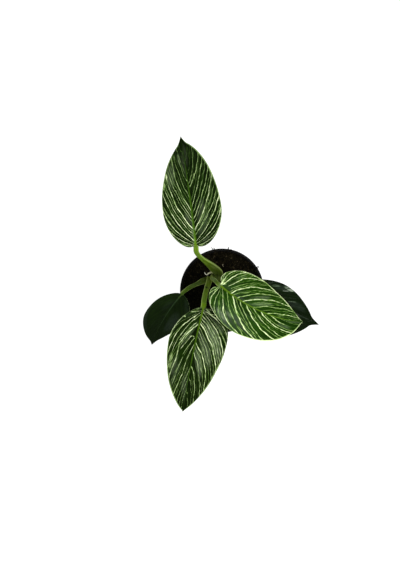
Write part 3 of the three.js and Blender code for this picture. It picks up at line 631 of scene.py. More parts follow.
def leaf_tissue(name, tones, dark):
    """Living leaf under a waxy cuticle, grown with a white sector in each vein lane: deep green
    with broken cream pinstripes. The wax gives a satin sheen, streaked along the veins, and a
    grey sheen is painted into the colour in patches."""
    material, tree = blank_material("leaf_tissue_" + name)
    pin_share, gloss = (0.1, 0.19) if dark else (tones["pin_share"], 0.26)
    quilt, quilt_depth = ((36, 2.5), 0.8) if dark else ((120, 2.0, 3.0), 0.25)
    place = lanes_of(tree, "veins")
    along, far = lanes_of(tree, "flat")
    # How strongly the painted grey sheen covers each place.
    sheen_cover = patch_sum(tree, *place, both_halves(PAINTED_SHEEN[name], 1))
    pale = pale_markings(tree, name, tones, place, along, sheen_cover, pin_share)

    # The green between the stripes changes from lane to lane and towards the tip.
    green = laid_over(tree, srgb(tones["deep"]), tones["light"],
                      streaked(tree, *place, 24, 2.5), 0.35, 0.65)
    green = laid_over(tree, green, tones["tip"], along, 0.45, 1.0)
    stripe = node(tree, "ValToRGB", {"Fac": pale},
                  stops=[(0.0, tones["light"]), (0.3, tones["stripe_rim"]),
                         (0.65, tones["stripe"]), (1.0, tones["stripe_core"])])
    painted = laid_over(tree, green, stripe, pale, 0.03, 0.3)
    # The painted grey sheen, streaked along the veins, is mixed into the colour.
    sheen_streaks = vein_streaks(tree, place, 130, 9, 0.4, 0.6, 0.15, 0.42)
    painted_sheen_share = node(tree, "Math", {0: sheen_cover, 1: sheen_streaks}, operation="MULTIPLY", use_clamp=True)
    painted = node(tree, "Mix", {"Factor": painted_sheen_share, "A": painted, "B": srgb(tones["painted_sheen_tone"])},
                   data_type="RGBA")

    # The midrib's channel is plain green, widest at the base.
    rib_width = node(tree, "MapRange", {"Value": along, "From Min": 0.0, "From Max": 0.8,
                                        "To Min": tones["rib_width"], "To Max": 0.5})
    rib_share = node(tree, "Math", {0: far, 1: rib_width}, operation="DIVIDE")
    rib_tone = node(tree, "ValToRGB", {"Fac": along},
                    stops=[(0.0, tones["rib_base"]), (0.12, tones["rib"]),
                           (0.75, tones["rib_tip"]), (1.0, tones["tip"])])
    painted = laid_over(tree, painted, rib_tone, rib_share, 1.3, 0.5)

    # Fine lateral veins stand out as streaks, and the cuticle has a leathery grain of 0.4 mm.
    leathery = node(tree, "Math", {0: grained(tree, 0.4, 2.0), 1: 0.25}, operation="MULTIPLY")
    relief = node(tree, "Math", {0: streaked(tree, *place, *quilt), 1: leathery}, operation="ADD")
    wax = vein_streaks(tree, place, 50, 5, 0.3, 0.7, gloss - 0.04, gloss + 0.08)
    return finished(material, painted, relief, 0.6, quilt_depth,
                    {"Roughness": wax, "IOR": 1.42, "Specular IOR Level": 0.08})


def leaf_underside(name, field, rib):
    """The leaf's lower skin, without wax: duller and paler, its veins pale and standing out."""
    material, tree = blank_material("leaf_underside_" + name)
    vein, reach = lanes_of(tree, "veins")
    far = lanes_of(tree, "flat")[1]
    streak = streaked(tree, vein, reach, 70.0, 3.0, 3.0, start=4.0)
    painted = laid_over(tree, srgb(field), rib, streak, 0.42, 0.68)
    painted = laid_over(tree, painted, rib, far, 3.0, 1.6)
    return finished(material, painted, streak, 0.5, 0.2, {"Roughness": 0.55, "IOR": 1.4})


def stalk_skin(name, tones):
    """The petiole's smooth green skin: long fibres under it draw faint lines, painted shade darkens
    its channel, the rims of its channel are pale, partly by nature and partly as painted
    highlights, and small corky specks and a healed nick or two dot it."""
    material, tree = blank_material("stalk_skin_" + name)
    around, along = lanes_of(tree, "length")
    fibre = streaked(tree, around, along, 34.0, 5.0, 3.0)
    run = node(tree, "ValToRGB", {"Fac": along},
               stops=[(0.0, tones["foot"]), (0.3, tones["sheath"]), (0.7, tones["skin"]),
                      (1.0, tones["top"])])
    painted = laid_over(tree, run, tones["shade"], grained(tree, 14, 3.0), 0.35, 0.7, 0.45)
    painted = laid_over(tree, painted, tones["edge"], fibre, 0.5, 0.72, 0.35)
    # Painted shade darkens the channel, and the stalk is pale along both sides, a fifth of the way
    # round, partly its own pale edge and partly a painted highlight.
    folded = node(tree, "Math", {0: around, 1: CHANNEL_PLACE}, operation="SUBTRACT")
    folded = node(tree, "Math", {0: folded}, operation="ABSOLUTE")
    painted = laid_over(tree, painted, tones["shade"], folded, 0.15, 0.05, 0.22)
    off_rim = node(tree, "Math", {0: folded, 1: tones["rim_place"]}, operation="SUBTRACT")
    off_rim = node(tree, "Math", {0: off_rim}, operation="ABSOLUTE")
    painted = laid_over(tree, painted, tones["edge"], off_rim, 0.035, 0.01, tones["rim_edge_and_highlight_share"])
    speck = node(tree, "TexVoronoi", {"Vector": node(tree, "TexCoord").outputs["Object"],
                                      "Scale": 1 / (SPECK_SPACING * MM)})
    painted = laid_over(tree, painted, "#2b2a12", speck, 0.10, 0.05, 0.5)
    scarred = patch_sum(tree, along, around, tones["scars"])
    painted = node(tree, "Mix", {"Factor": scarred, "A": painted, "B": srgb("#161c02")},
                   data_type="RGBA")
    return finished(material, painted, fibre, 0.5, 0.15,
                    {"Roughness": 0.36, "IOR": 1.4, "Specular IOR Level": 0.3})


def corky_bark():
    """A young aroid stem: green skin that turns to thin tan cork in rings at the leaf scars."""
    material, tree = blank_material("corky_bark")
    along = lanes_of(tree, "length")[1]
    ring = node(tree, "Math", {0: along, 1: math.pi * STEM["nodes"]}, operation="MULTIPLY")
    ring = node(tree, "Math", {0: node(tree, "Math", {0: ring}, operation="SINE")},
                operation="ABSOLUTE")
    cork = grained(tree, 2.2, 4.0)
    share = node(tree, "Math", {0: ring, 1: cork}, operation="MULTIPLY")
    painted = node(tree, "ValToRGB", {"Fac": share},
                   stops=[(0.0, "#465614"), (0.4, "#586a1c"), (0.62, "#6c7030"), (0.8, "#463c20")])
    return finished(material, painted, cork, 0.9, 0.4, {"Roughness": 0.7, "IOR": 1.4})


def moulded_polypropylene():
    """Recycled black polypropylene, injection moulded in a lightly spark-eroded mould: a fine
    even grain that scatters its gloss, with faint flow marks."""
    material, tree = blank_material("moulded_polypropylene")
    flow = grained(tree, 22, 3.0)
    painted = node(tree, "ValToRGB", {"Fac": flow}, stops=[(0.35, "#050505"), (0.7, "#090909")])
    rough = node(tree, "MapRange", {"Value": flow, "From Min": 0.3, "From Max": 0.7,
                                    "To Min": 0.5, "To Max": 0.65})
    return finished(material, painted, grained(tree, 0.5, 2.0), 0.35, 0.1,
                    {"Roughness": rough, "IOR": 1.49, "Specular IOR Level": 0.12})


def moist_peat():
    """Milled peat, damp and near black, with rusty fibre in it: dull, with a crumb of 1.6 mm."""
    material, tree = blank_material("moist_peat")
    crumb = grained(tree, 1.6, 5.0, Roughness=0.65)
    painted = node(tree, "ValToRGB", {"Fac": crumb},
                   stops=[(0.38, "#030200"), (0.5, "#0e0c06"), (0.6, "#211d11"),
                          (0.72, "#46402a")])
    painted = laid_over(tree, painted, "#060502", grained(tree, 11, 2.0), 0.4, 0.65, 0.7)
    return finished(material, painted, crumb, 1.0, 0.8,
                    {"Roughness": 0.92, "IOR": 1.35, "Specular IOR Level": 0.05})


def composted_bark():
    """Composted pine bark and peat lumps: each lump has its own brown, from black to rust, and a
    few dry slivers are tan."""
    material, tree = blank_material("composted_bark")
    own = node(tree, "ValToRGB", {"Fac": lanes_of(tree, "lump")[0]},
               stops=[(0.0, "#040301"), (0.4, "#110e06"), (0.7, "#272010"), (0.88, "#403824"),
                      (0.955, "#5a503c"), (1.0, "#b4a88e")])
    flake = grained(tree, 0.9, 4.0)
    painted = laid_over(tree, own, "#050403", flake, 0.3, 0.7, 0.1, least=0.75)
    return finished(material, painted, flake, 0.9, 0.4,
                    {"Roughness": 0.88, "IOR": 1.4, "Specular IOR Level": 0.1})


def papery_sheath():
    """A withered leaf sheath: dead skin dried to pale paper, its fibres drawn in long lines."""
    material, tree = blank_material("papery_sheath")
    around, along = lanes_of(tree, "length")
    fibre = streaked(tree, around, along, 40.0, 4.0, 4.0)
    run = node(tree, "ValToRGB", {"Fac": along},
               stops=[(0.0, "#8c944c"), (0.3, "#c4c49c"), (0.7, "#ece8d4"), (1.0, "#f8f6ea")])
    painted = laid_over(tree, run, "#7c7846", fibre, 0.45, 0.7, 0.4)
    return finished(material, painted, fibre, 0.8, 0.2, {"Roughness": 0.8, "IOR": 1.4})


# Each leaf's tones include the colour of its painted grey sheen and how much brighter its fine
# stripes are painted under that sheen.
STRIPED_TONES = dict(
    deep="#081400", light="#122800", tip="#0a1600", stripe_rim="#3f621c", stripe="#a8c874",
    stripe_core="#f2ffc8", rib_base="#6a8f1c", rib="#44640e", rib_tip="#2c4a10",
    rib_width=1.7, pin_share=0.42, edge_share=0.7, tip_stripes=0.8, painted_sheen_tone="#93a580",
    sheen_line_lift=1.2)
LEAF_TONES = {
    "back": STRIPED_TONES | dict(stripe_rim="#426026", stripe="#a8c47c", stripe_core="#f4fece",
                                 rib_base="#628a14", rib="#44690f", rib_width=2.1,
                                 tip_stripes=0.68, edge_share=0.6),
    "right": STRIPED_TONES | dict(deep="#0f2600", light="#1c4000", tip="#123000",
                                  stripe_rim="#4c7424", rib_width=1.4, rib_base="#5f7d12",
                                  rib="#4c6c0c", rib_tip="#5c8424", edge_share=1.0,
                                  tip_stripes=1.0),
    "front": STRIPED_TONES | dict(stripe_rim="#466026", stripe="#aac480", stripe_core="#f6ffd2",
                                  pin_share=0.4, edge_share=0.6, tip_stripes=0.73),
    "low_left": STRIPED_TONES | dict(
        deep="#101e07", light="#172808", tip="#0f1c06", stripe_rim="#2c4418", stripe="#5d7a48",
        stripe_core="#aebf94", rib_base="#4c6424", rib="#32482a", rib_tip="#172808",
        rib_width=1.1, edge_share=0.2, painted_sheen_tone="#4a5650", sheen_line_lift=1.0),
    "low_right": STRIPED_TONES | dict(
        deep="#081403", light="#0f2005", tip="#081403", stripe_rim="#33482b", stripe="#7f8f76",
        stripe_core="#d8decf", rib_base="#3d5c28", rib="#22391f", rib_tip="#182a17",
        rib_width=1.4, edge_share=0.16, painted_sheen_tone="#5c6a60", sheen_line_lift=1.5),
}
UNDERSIDE_TONES = {"back": ("#4f6f38", "#8fa765"), "right": ("#55763b", "#98ae6b"),
                   "front": ("#4f6f38", "#8fa765"), "low_left": ("#2f4a2a", "#56703f"),
                   "low_right": ("#2f4a2a", "#56703f")}
# shade darkens each stalk in random clouds and, as painted shade, in its channel; the pale rims
# along its sides are partly painted highlight.
PLAIN_STALK = dict(foot="#414e08", sheath="#526a06", skin="#5f8604", top="#6c920a",
                   shade="#2e4602", edge="#b2c274", rim_place=0.2, rim_edge_and_highlight_share=0.65, scars=[])
# scars: healed nicks, each with its place along and around the stalk, its radius along and
# around it, and its strength.
STALK_TONES = {
    "back": PLAIN_STALK | dict(scars=[(0.54, 0.25, 0.022, 0.07, 0.6)]),
    "right": PLAIN_STALK | dict(foot="#5c6a18", sheath="#667c12", skin="#4e6c06", top="#44600a"),
    "front": PLAIN_STALK | dict(foot="#566410", sheath="#667c12", skin="#6a9006", top="#88b80c",
                                scars=[(0.49, 0.286, 0.032, 0.11, 0.95)]),
    "low_left": PLAIN_STALK | dict(foot="#4a580c", sheath="#4c6208", skin="#4a6808", top="#4c6a10"),
    "low_right": PLAIN_STALK,
}

# ---------------------------------------------------------------- leaf blades

RIB_STEPS = 96
BLADE_ROWS = (20, 190)           # rows of points along the neck and from there to the tip
REACHES = np.linspace(0, 1, 41) ** 1.5   # closest together at the midrib
LATERALS = 17                    # sunken main side veins in each half
CREASE_DEPTH = 0.16              # how far a side vein sinks into the blade
CHANNEL_DEPTH = 0.7              # the midrib's channel on the upper face
SHOULDER_HEIGHT = 0.15           # the low ridge on each side of that channel
RIM_THINNING = 0.25              # how much thinner the blade is at its margin
RIM_BULGE = 0.15                 # how far the margin's round edge stands out
SAME_PLACE = 0.00002             # points no further apart than this are the same point


def rib_line(leaf):
    """Points, directions and headings along a leaf's midrib."""
    share = np.linspace(0, 1, RIB_STEPS + 1)
    heading = np.radians(leaf["heading"] + leaf["sweep"] * share)
    pitch = np.radians(mix(leaf["pitch"][0], leaf["pitch"][1], share))
    along = np.stack([np.cos(pitch) * np.cos(heading), np.cos(pitch) * np.sin(heading),
                      np.sin(pitch)], -1)
    steps = (along[1:] + along[:-1]) * leaf["length"] / RIB_STEPS / 2
    at = np.array(leaf["base"], float) + np.vstack([np.zeros(3), np.cumsum(steps, axis=0)])
    return at, along, heading


def rib_frame(leaf, share):
    """The midrib's place and its along, left and up directions at shares of its length."""
    at, along, heading = rib_line(leaf)
    inside = np.clip(share, 0, 1)
    marks = np.linspace(0, 1, RIB_STEPS + 1)

    def there(values):
        return np.stack([np.interp(inside, marks, values[:, i]) for i in range(3)], -1)

    ahead = unit(there(along))
    place = there(at) + ahead * (np.minimum(share, 0) * leaf["length"])[..., None]
    turn = np.interp(inside, marks, heading)
    level = np.stack([-np.sin(turn), np.cos(turn), np.zeros_like(turn)], -1)
    upright = np.cross(ahead, level)
    roll = np.radians(leaf["roll"] + leaf["twist"] * inside)[..., None]
    left = level * np.cos(roll) + upright * np.sin(roll)
    up = upright * np.cos(roll) - level * np.sin(roll)
    return place, ahead, left, up


def cubic(points, share):
    """A Bezier curve through its first and last point, bent towards the two between."""
    a, b, c, d = (np.array(p, float) for p in points)
    t = share[..., None]
    return (1 - t) ** 3 * a + 3 * (1 - t) ** 2 * t * b + 3 * (1 - t) * t * t * c + t ** 3 * d


def margin_point(leaf, vein):
    """Where a vein meets the margin: the base lobe, then the flank, then the drip tip."""
    neck, lobe_veins, flank_veins = BLADE["neck"], BLADE["lobe_veins"], BLADE["flank_veins"]
    widest, drip = leaf["widest"], leaf["drip"]
    (ahead, inward), near_tip = BLADE["drip_pull"]
    base = cubic([(0, neck), (-leaf["lobe"], leaf["shoulder"]), (widest - leaf["rise"], 1),
                  (widest, 1)], np.clip(vein / lobe_veins, 0, 1))
    flank = cubic([(widest, 1), *BLADE["flank_pull"], drip],
                  np.clip((vein - lobe_veins) / (flank_veins - lobe_veins), 0, 1))
    tip = cubic([drip, (drip[0] + ahead, drip[1] + inward), near_tip, (1, 0)],
                np.clip((vein - flank_veins) / (1 - flank_veins), 0, 1))
    in_base, in_flank = (vein < lobe_veins)[..., None], (vein < flank_veins)[..., None]
    return np.where(in_base, base, np.where(in_flank, flank, tip))


def vein_point(leaf, vein, reach):
    """A point on a vein on the flat leaf, as shares of its length and of its half width. The
    veins leave the neck and the midrib's foot close together, then the midrib evenly."""
    end_x, end_y = np.moveaxis(margin_point(leaf, vein), -1, 0)
    neck_veins, foot_veins = BLADE["neck_veins"], BLADE["foot_veins"]
    foot = np.clip((vein - neck_veins) / (foot_veins - neck_veins), 0, 1)
    spread = np.clip((vein - foot_veins) / (1 - foot_veins), 0, 1)
    start_x = BLADE["foot_share"] * foot * (1 - spread) + 0.62 * spread + 0.38 * spread ** 5
    start_y = BLADE["neck"] * np.maximum(0, 1 - vein / neck_veins)
    pull_x = start_x + 0.46 * np.maximum(0, end_x - start_x)
    pull_y = mix(start_y, end_y, 0.72)
    near, middle, far = (1 - reach) ** 2, 2 * (1 - reach) * reach, reach ** 2
    return (near * start_x + middle * pull_x + far * end_x,
            near * start_y + middle * pull_y + far * end_y)


def blade_face(leaf, side, vein, reach, upper):
    """Points of a blade's upper or lower face, with their place on the flat leaf."""
    x, y = vein_point(leaf, vein, reach)
    half_width = leaf["width"] * (leaf["left_share"] if side > 0 else 1 - leaf["left_share"])
    far = y * half_width
    place, _, left, up = rib_frame(leaf, x)
    fold, curl = math.radians(leaf["fold"]), leaf["droop"] / 1000
    slope = np.where(far > 0, fold - curl * far, 0)
    sideways = (math.sin(fold) - np.sin(fold - curl * far)) / curl
    height, count, phase = leaf["wave"]
    phase = 2 * math.pi * count * vein + phase + (1.7 if side > 0 else 0)
    raised = (np.cos(fold - curl * far) - math.cos(fold)) / curl + height * y ** 2 * np.sin(phase)
    tip_run = 1 - np.clip(x, 0, 1)
    to_tip = smoothstep(vein, 1.0, 0.97)     # so that each face closes to one point there

    # Sunken side veins, with the tissue quilted up between them, fade out at the margin.
    crease = np.abs(np.cos(math.pi * LATERALS * vein)) ** 10
    crease = crease * smoothstep(reach, 0.05, 0.2) * smoothstep(reach, 1.0, 0.8)
    crease = crease * smoothstep(vein, 0.15, 0.3) * to_tip
    channel_width = mix(0.6, 2.0, tip_run)
    channel = tip_run ** 0.5 * np.exp(-(far / channel_width) ** 2)
    shoulder = tip_run * np.exp(-((far - 2.2 * channel_width) / channel_width) ** 2)
    if upper:
        offset = (BLADE["thickness"] / 2 - CREASE_DEPTH * crease - CHANNEL_DEPTH * channel
                  + SHOULDER_HEIGHT * shoulder)
    else:
        thin = RIM_THINNING * smoothstep(reach, 0.8, 1.0) * to_tip
        rib = np.clip(1 - (far / BLADE["rib_half_width"]) ** 2, 0, 1) ** 2
        offset = (thin - BLADE["thickness"] / 2 - CREASE_DEPTH * crease
                  - BLADE["rib_depth"] * tip_run * rib)
    points = (place + left * (side * (sideways - offset * np.sin(slope)))[..., None]
              + up * (raised + offset * np.cos(slope))[..., None])
    return points, x, far


def half_faces(rows, columns, neck_rows):
    """Faces of one half of a blade, and the coat of each: 0 above and 1 below. Its points are
    the upper face's grid, the lower face's grid and the rim."""
    size = rows * columns
    top = grid_faces(rows, columns)
    under = size + top[:, ::-1]
    row = np.arange(rows - 1)
    top_edge = row * columns + columns - 1
    under_edge, rim_edge = size + top_edge, 2 * size + row
    upper_rim = np.stack([top_edge, top_edge + columns, rim_edge + 1, rim_edge], -1)
    lower_rim = np.stack([rim_edge, rim_edge + 1, under_edge + columns, under_edge], -1)
    neck = row[:neck_rows] * columns
    neck_wall = np.stack([neck + columns, neck, size + neck, size + neck + columns], -1)
    out = np.arange(columns - 1)
    corner_wall = np.stack([out, out + 1, size + out + 1, size + out], -1)
    quads = np.vstack([top[:, ::-1], under[:, ::-1], upper_rim, lower_rim, neck_wall,
                       corner_wall])
    corner = np.array([[columns - 1, 2 * size, size + columns - 1]])
    coats = [0] * len(top) + [1] * len(under) + [0] * len(upper_rim)
    coats += [1] * (len(lower_rim) + len(neck_wall) + len(corner_wall) + len(corner))
    return (quads, corner), coats


def half_map(first_lane, second_lane):
    """A UV pair for each point of one half of a blade, in the order that half_faces() says."""
    pairs = np.stack([first_lane, second_lane], -1)
    return np.vstack([pairs.reshape(-1, 2), pairs.reshape(-1, 2), pairs[:, -1]])


def blade(name, top_coat, under_coat):
    """A blade of two finely gridded faces, with a rounded margin and a rib below."""
    leaf = LEAVES[name]
    neck_rows, rows = BLADE_ROWS
    neck_veins = np.linspace(0, BLADE["neck_veins"], neck_rows + 1)
    veins = np.concatenate([neck_veins, np.linspace(BLADE["neck_veins"], 1, rows + 1)[1:]])
    vein, reach = np.meshgrid(veins, REACHES, indexing="ij")
    points, faces, vein_map, flat_map, coats = [], [], [], [], []
    first = 0
    for side in (1, -1):
        top, x, far = blade_face(leaf, side, vein, reach, True)
        under, _, _ = blade_face(leaf, side, vein, reach, False)
        outward = unit(top[:, -1] - top[:, -2])
        rim = (top[:, -1] + under[:, -1]) / 2 + RIM_BULGE * outward
        half = np.vstack([top.reshape(-1, 3), under.reshape(-1, 3), rim])
        veins_here = half_map(vein + (0 if side > 0 else RIGHT_HALF), reach)
        flat_here = half_map(x, far)
        groups, half_coats = half_faces(*vein.shape, neck_rows)
        for group in groups:
            group = group if side > 0 else group[:, ::-1]
            vein_map.append(veins_here[group].reshape(-1, 2))
            flat_map.append(flat_here[group].reshape(-1, 2))
            faces += (group + first).tolist()
        coats += half_coats
        points.append(half)
        first += len(half)
    piece = mesh_piece("leaf_blade_" + name, np.vstack(points), faces, top_coat,
                       {"veins": np.vstack(vein_map), "flat": np.vstack(flat_map)})
    mesh = piece.data
    mesh.materials.append(under_coat)
    mesh.polygons.foreach_set("material_index", coats)
    body = bmesh.new()
    body.from_mesh(mesh)
    bmesh.ops.remove_doubles(body, verts=body.verts, dist=SAME_PLACE * MM)
    body.to_mesh(mesh)
    body.free()
    return piece


# ---------------------------------------------------------------- petioles

PETIOLE_SIDES = 40
PETIOLE_STEPS = 90
MERGE_RUN = 9            # how far a petiole runs on under the blade as it fades into the midrib
MERGE_STEPS = 9
MERGE_SINK = 1.9         # how deep it lies under the midrib by then
MERGE_THINNING = (0.75, 0.72)    # how much of its width and of its depth it loses there


def petiole(name, coat):
    """A leaf stalk with a channel on its upper side and a sheath with raised rims at its foot."""
    leaf = LEAVES[name]
    at, along, left, up = (d[0] for d in rib_frame(leaf, np.array([0.0])))
    end = at - 0.3 * along - up * BLADE["rib_depth"] / 2
    route, ahead = smooth_route(leaf["petiole"] + [end - 3 * along, end - 1.5 * along, end],
                                PETIOLE_STEPS)
    widest, over = leaf["sheath"]

    def size(widths, share):
        foot, sheath, top = widths
        return np.where(share < widest, mix(foot, sheath, smoothstep(share, 0, widest)),
                        mix(sheath, top, smoothstep(share, widest, over)))

    share = np.linspace(0, 1, PETIOLE_STEPS + 1)
    half_width = size(leaf["petiole_width"], share) / 2
    half_depth = size(leaf["petiole_depth"], share) / 2

    # Past the blade's base the stalk sinks into the midrib.
    run = np.linspace(0, 1, MERGE_STEPS + 1)[1:]
    place, rib_along, _, rib_up = rib_frame(leaf, run * MERGE_RUN / leaf["length"])
    sink = mix(BLADE["rib_depth"] / 2, MERGE_SINK, smoothstep(run, 0, 0.6))[:, None]
    route = np.vstack([route, place - rib_up * sink])
    ahead = np.vstack([ahead, rib_along])
    narrower, flatter = MERGE_THINNING
    half_width = np.concatenate([half_width, half_width[-1] * (1 - narrower * run)])
    half_depth = np.concatenate([half_depth, half_depth[-1] * (1 - flatter * run)])
    share = np.concatenate([share, np.ones(MERGE_STEPS)])

    turn = full_turn(PETIOLE_SIDES)
    rise = np.maximum(0, np.sin(turn))
    open_share = smoothstep(share, 0.5, 0.1)[:, None]
    groove = mix(0.35 * rise ** 6, 0.85 * smoothstep(rise, 0.45, 0.95), open_share)
    ridges = 1 + 0.012 * np.sin(turn * 11)
    across = half_width[:, None] * np.cos(turn) * ridges
    down = half_depth[:, None] * np.sin(turn) * (1 - groove) * ridges
    rings = swept_rings(route, *ring_directions(ahead, left), across, down)
    return tube_piece("leaf_stalk_" + name, rings, coat)


# ---------------------------------------------------------------- stem, sheath

STEM_SIDES = 48
STEM_STEPS = 90
SHEATH_STEPS = 60
SHEATH_SPOTS = 13        # points across the strap


def stem(coat):
    """A short trunk with a swollen, roughened ring at each leaf scar."""
    route, ahead = smooth_route(STEM["route"], STEM_STEPS)
    share = np.linspace(0, 1, STEM_STEPS + 1)
    turn = full_turn(STEM_SIDES)
    swell = STEM["node_swell"] * np.abs(np.sin(share * math.pi * STEM["nodes"])) ** 3
    radius = STEM["radius"] * (1 - 0.2 * smoothstep(share, 0.93, 1.0)) + swell
    radius = radius[:, None] * (1 + 0.02 * noise(turn[None] * 4, share[:, None] * 30, 3))
    directions = ring_directions(ahead, np.array([1.0, 0, 0]))
    rings = swept_rings(route, *directions, radius * np.cos(turn), radius * np.sin(turn))
    return tube_piece("stem_trunk", rings, coat)


def dry_sheath(coat):
    """The papery strap that the newest leaf grew out of: cupped, frayed and curled over."""
    route, ahead = smooth_route(DRY_SHEATH["route"], SHEATH_STEPS)
    share = np.linspace(0, 1, SHEATH_STEPS + 1)[:, None]
    half = mix(*DRY_SHEATH["width"], share ** 0.7) / 2
    spots = np.linspace(-1, 1, SHEATH_SPOTS)
    frayed = half * (1 + 0.08 * noise(share * 24, np.sign(spots)[None] * 3.0, 5)) * spots
    cup = 0.35 * half * np.abs(spots) ** 2.2 + 0.12 * np.sin(spots * 9 + share * 6)
    thickness = mix(0.5, 0.3, np.abs(spots))
    across = np.hstack([frayed, frayed[:, ::-1]])
    rise = np.hstack([cup, (cup + thickness)[:, ::-1]])
    directions = ring_directions(ahead, np.array(DRY_SHEATH["across"]))
    return tube_piece("dry_sheath_strap", swept_rings(route, *directions, across, rise), coat)


# ---------------------------------------------------------------- pot

POT_SEGMENTS = 160
HOLE_SIDES = 32


def wall_radius(z):
    return mix(POT["foot_radius"], POT["mouth_radius"], z / POT["height"])


def inner_radius(z):
    return wall_radius(z) - POT["wall"]


def rounded(profile, radius=0.35, steps=3):
    """The profile with each corner turned into a small arc."""
    p = [np.array(q, float) for q in profile]
    out = [p[0]]
    for before, corner, after in zip(p, p[1:], p[2:]):
        reach_in = min(radius, np.linalg.norm(corner - before) / 2.2)
        reach_out = min(radius, np.linalg.norm(after - corner) / 2.2)
        start = corner + unit(before - corner) * reach_in
        finish = corner + unit(after - corner) * reach_out
        for t in np.linspace(0, 1, steps + 1):
            out.append((1 - t) ** 2 * start + 2 * (1 - t) * t * corner + t * t * finish)
    return out + [p[-1]]


def pot(coat):
    """The moulded pot: skirted rim, tapered wall, drain channel with holes and foot ring."""
    height, wall, rim, lip = POT["height"], POT["wall"], POT["rim_radius"], POT["lip"]
    pad, ring, step, slope = POT["pad_radius"], POT["ring_radius"], POT["step"], POT["slope"]
    band, foot_edge, rim_edge = POT["rim_band"], POT["foot_edge"], POT["rim_edge"]
    shift = wall / 2         # keeps the channel's sloping sides about as thick as the wall
    profile = [(0, 0), (pad, 0), (pad + slope, step), (ring - slope, step), (ring, 0),
               (POT["foot_radius"] - foot_edge, 0), (wall_radius(foot_edge), foot_edge),
               (wall_radius(height - wall), height - wall), (rim - wall, height - wall),
               (rim - wall, height - band), (rim, height - band), (rim, height - rim_edge),
               (rim - rim_edge, height), (rim - lip, height),
               (inner_radius(height - wall), height - wall),
               (inner_radius(wall + foot_edge), wall + foot_edge),
               (inner_radius(wall) - foot_edge, wall), (ring + shift, wall),
               (ring - slope + shift, step + wall), (pad + slope - shift, step + wall),
               (pad - shift, wall), (0, wall)]
    points, faces = tube(turned_rings(rounded(profile)[1:-1], full_turn(POT_SEGMENTS)))
    piece = mesh_piece("nursery_pot", points, [f[::-1] for f in faces], coat)
    drill = bmesh.new()
    for k in range(POT["drain_holes"]):
        angle = (k + 0.5) * 2 * math.pi / POT["drain_holes"]
        radius = POT["drain_radius"] * MM
        made = bmesh.ops.create_cone(drill, cap_ends=True, segments=HOLE_SIDES,
                                     depth=4 * step * MM, radius1=radius, radius2=radius)
        bmesh.ops.translate(drill, verts=made["verts"],
                            vec=(*polar((pad + ring) / 2 * MM, angle), step * MM))
    drill_mesh = bpy.data.meshes.new("drain_drill")
    drill.to_mesh(drill_mesh)
    drill.free()
    cutter = bpy.data.objects.new("drain_drill", drill_mesh)
    bpy.context.scene.collection.objects.link(cutter)
    cut = piece.modifiers.new("drain_holes", "BOOLEAN")
    cut.operation, cut.object = "DIFFERENCE", cutter
    bpy.context.view_layer.update()
    holed = bpy.data.meshes.new_from_object(
        piece.evaluated_get(bpy.context.evaluated_depsgraph_get()))
    piece.modifiers.clear()
    piece.data = holed
    bpy.data.objects.remove(cutter)
    holed.polygons.foreach_set("use_smooth", [True] * len(holed.polygons))
    holed.set_sharp_from_angle(angle=math.radians(38))
    return piece


# ---------------------------------------------------------------- potting mix

SOIL_SEGMENTS = 240
SOIL_RINGS = 75
PITS = ((2.1, 0.45, 21), (1.1, 0.3, 22))     # size in mm, height in mm and seed


def soil_height(x, y):
    heaps = noise(x / SOIL["heap"], y / SOIL["heap"], SOIL["seed"])
    crumbs = noise(x / SOIL["crumb"], y / SOIL["crumb"], SOIL["seed"] + 1)
    dish = SOIL["dish"] * (np.hypot(x, y) / POT["mouth_radius"]) ** 2
    return SOIL["level"] + SOIL["relief"] * (0.6 * heaps + 0.4 * crumbs) + dish


def soil(coat):
    """The body of potting mix, with a crumbly top that is pitted down to about 1 mm."""
    pad, ring, step, slope = POT["pad_radius"], POT["ring_radius"], POT["step"], POT["slope"]
    gap, wall, foot_edge = SEAT_GAP, POT["wall"], POT["foot_edge"]
    floor = wall + gap
    shoulder = SOIL["level"] - 2 * SOIL["relief"]
    top_radius = inner_radius(SOIL["level"]) - gap
    turn = full_turn(SOIL_SEGMENTS)
    rows = []
    for radius in top_radius * np.linspace(0, 1, SOIL_RINGS + 1)[1:]:
        x, y = radius * np.cos(turn), radius * np.sin(turn)
        pits = sum(height * noise(x / size, y / size, seed) for size, height, seed in PITS)
        rows.append(np.stack([x, y, soil_height(x, y) + pits], -1))
    under = [(inner_radius(shoulder) - gap, shoulder),
             (inner_radius(floor + foot_edge) - gap, floor + foot_edge),
             (inner_radius(floor) - 2 * gap - foot_edge, floor), (ring + wall, floor),
             (ring - slope + wall, step + floor), (pad + slope - wall, step + floor),
             (pad - wall, floor)]
    points, faces = tube((rows + list(turned_rings(under, turn)))[::-1])
    return mesh_piece("potting_mix", points, faces, coat)


def lump_shape():
    """Unit points and faces of the rough ball that every lump of bark is shaped from."""
    ball = bmesh.new()
    bmesh.ops.create_icosphere(ball, subdivisions=2, radius=1.0)
    points = np.array([v.co[:] for v in ball.verts])
    faces = np.array([[v.index for v in f.verts] for f in ball.faces])
    ball.free()
    return points, faces


def turned(rng, points):
    """The points turned at random about the origin."""
    w, x, y, z = unit(rng.normal(size=4))
    turn = np.array([[1 - 2 * (y * y + z * z), 2 * (x * y - w * z), 2 * (x * z + w * y)],
                     [2 * (x * y + w * z), 1 - 2 * (x * x + z * z), 2 * (y * z - w * x)],
                     [2 * (x * z - w * y), 2 * (y * z + w * x), 1 - 2 * (x * x + y * y)]])
    return points @ turn.T


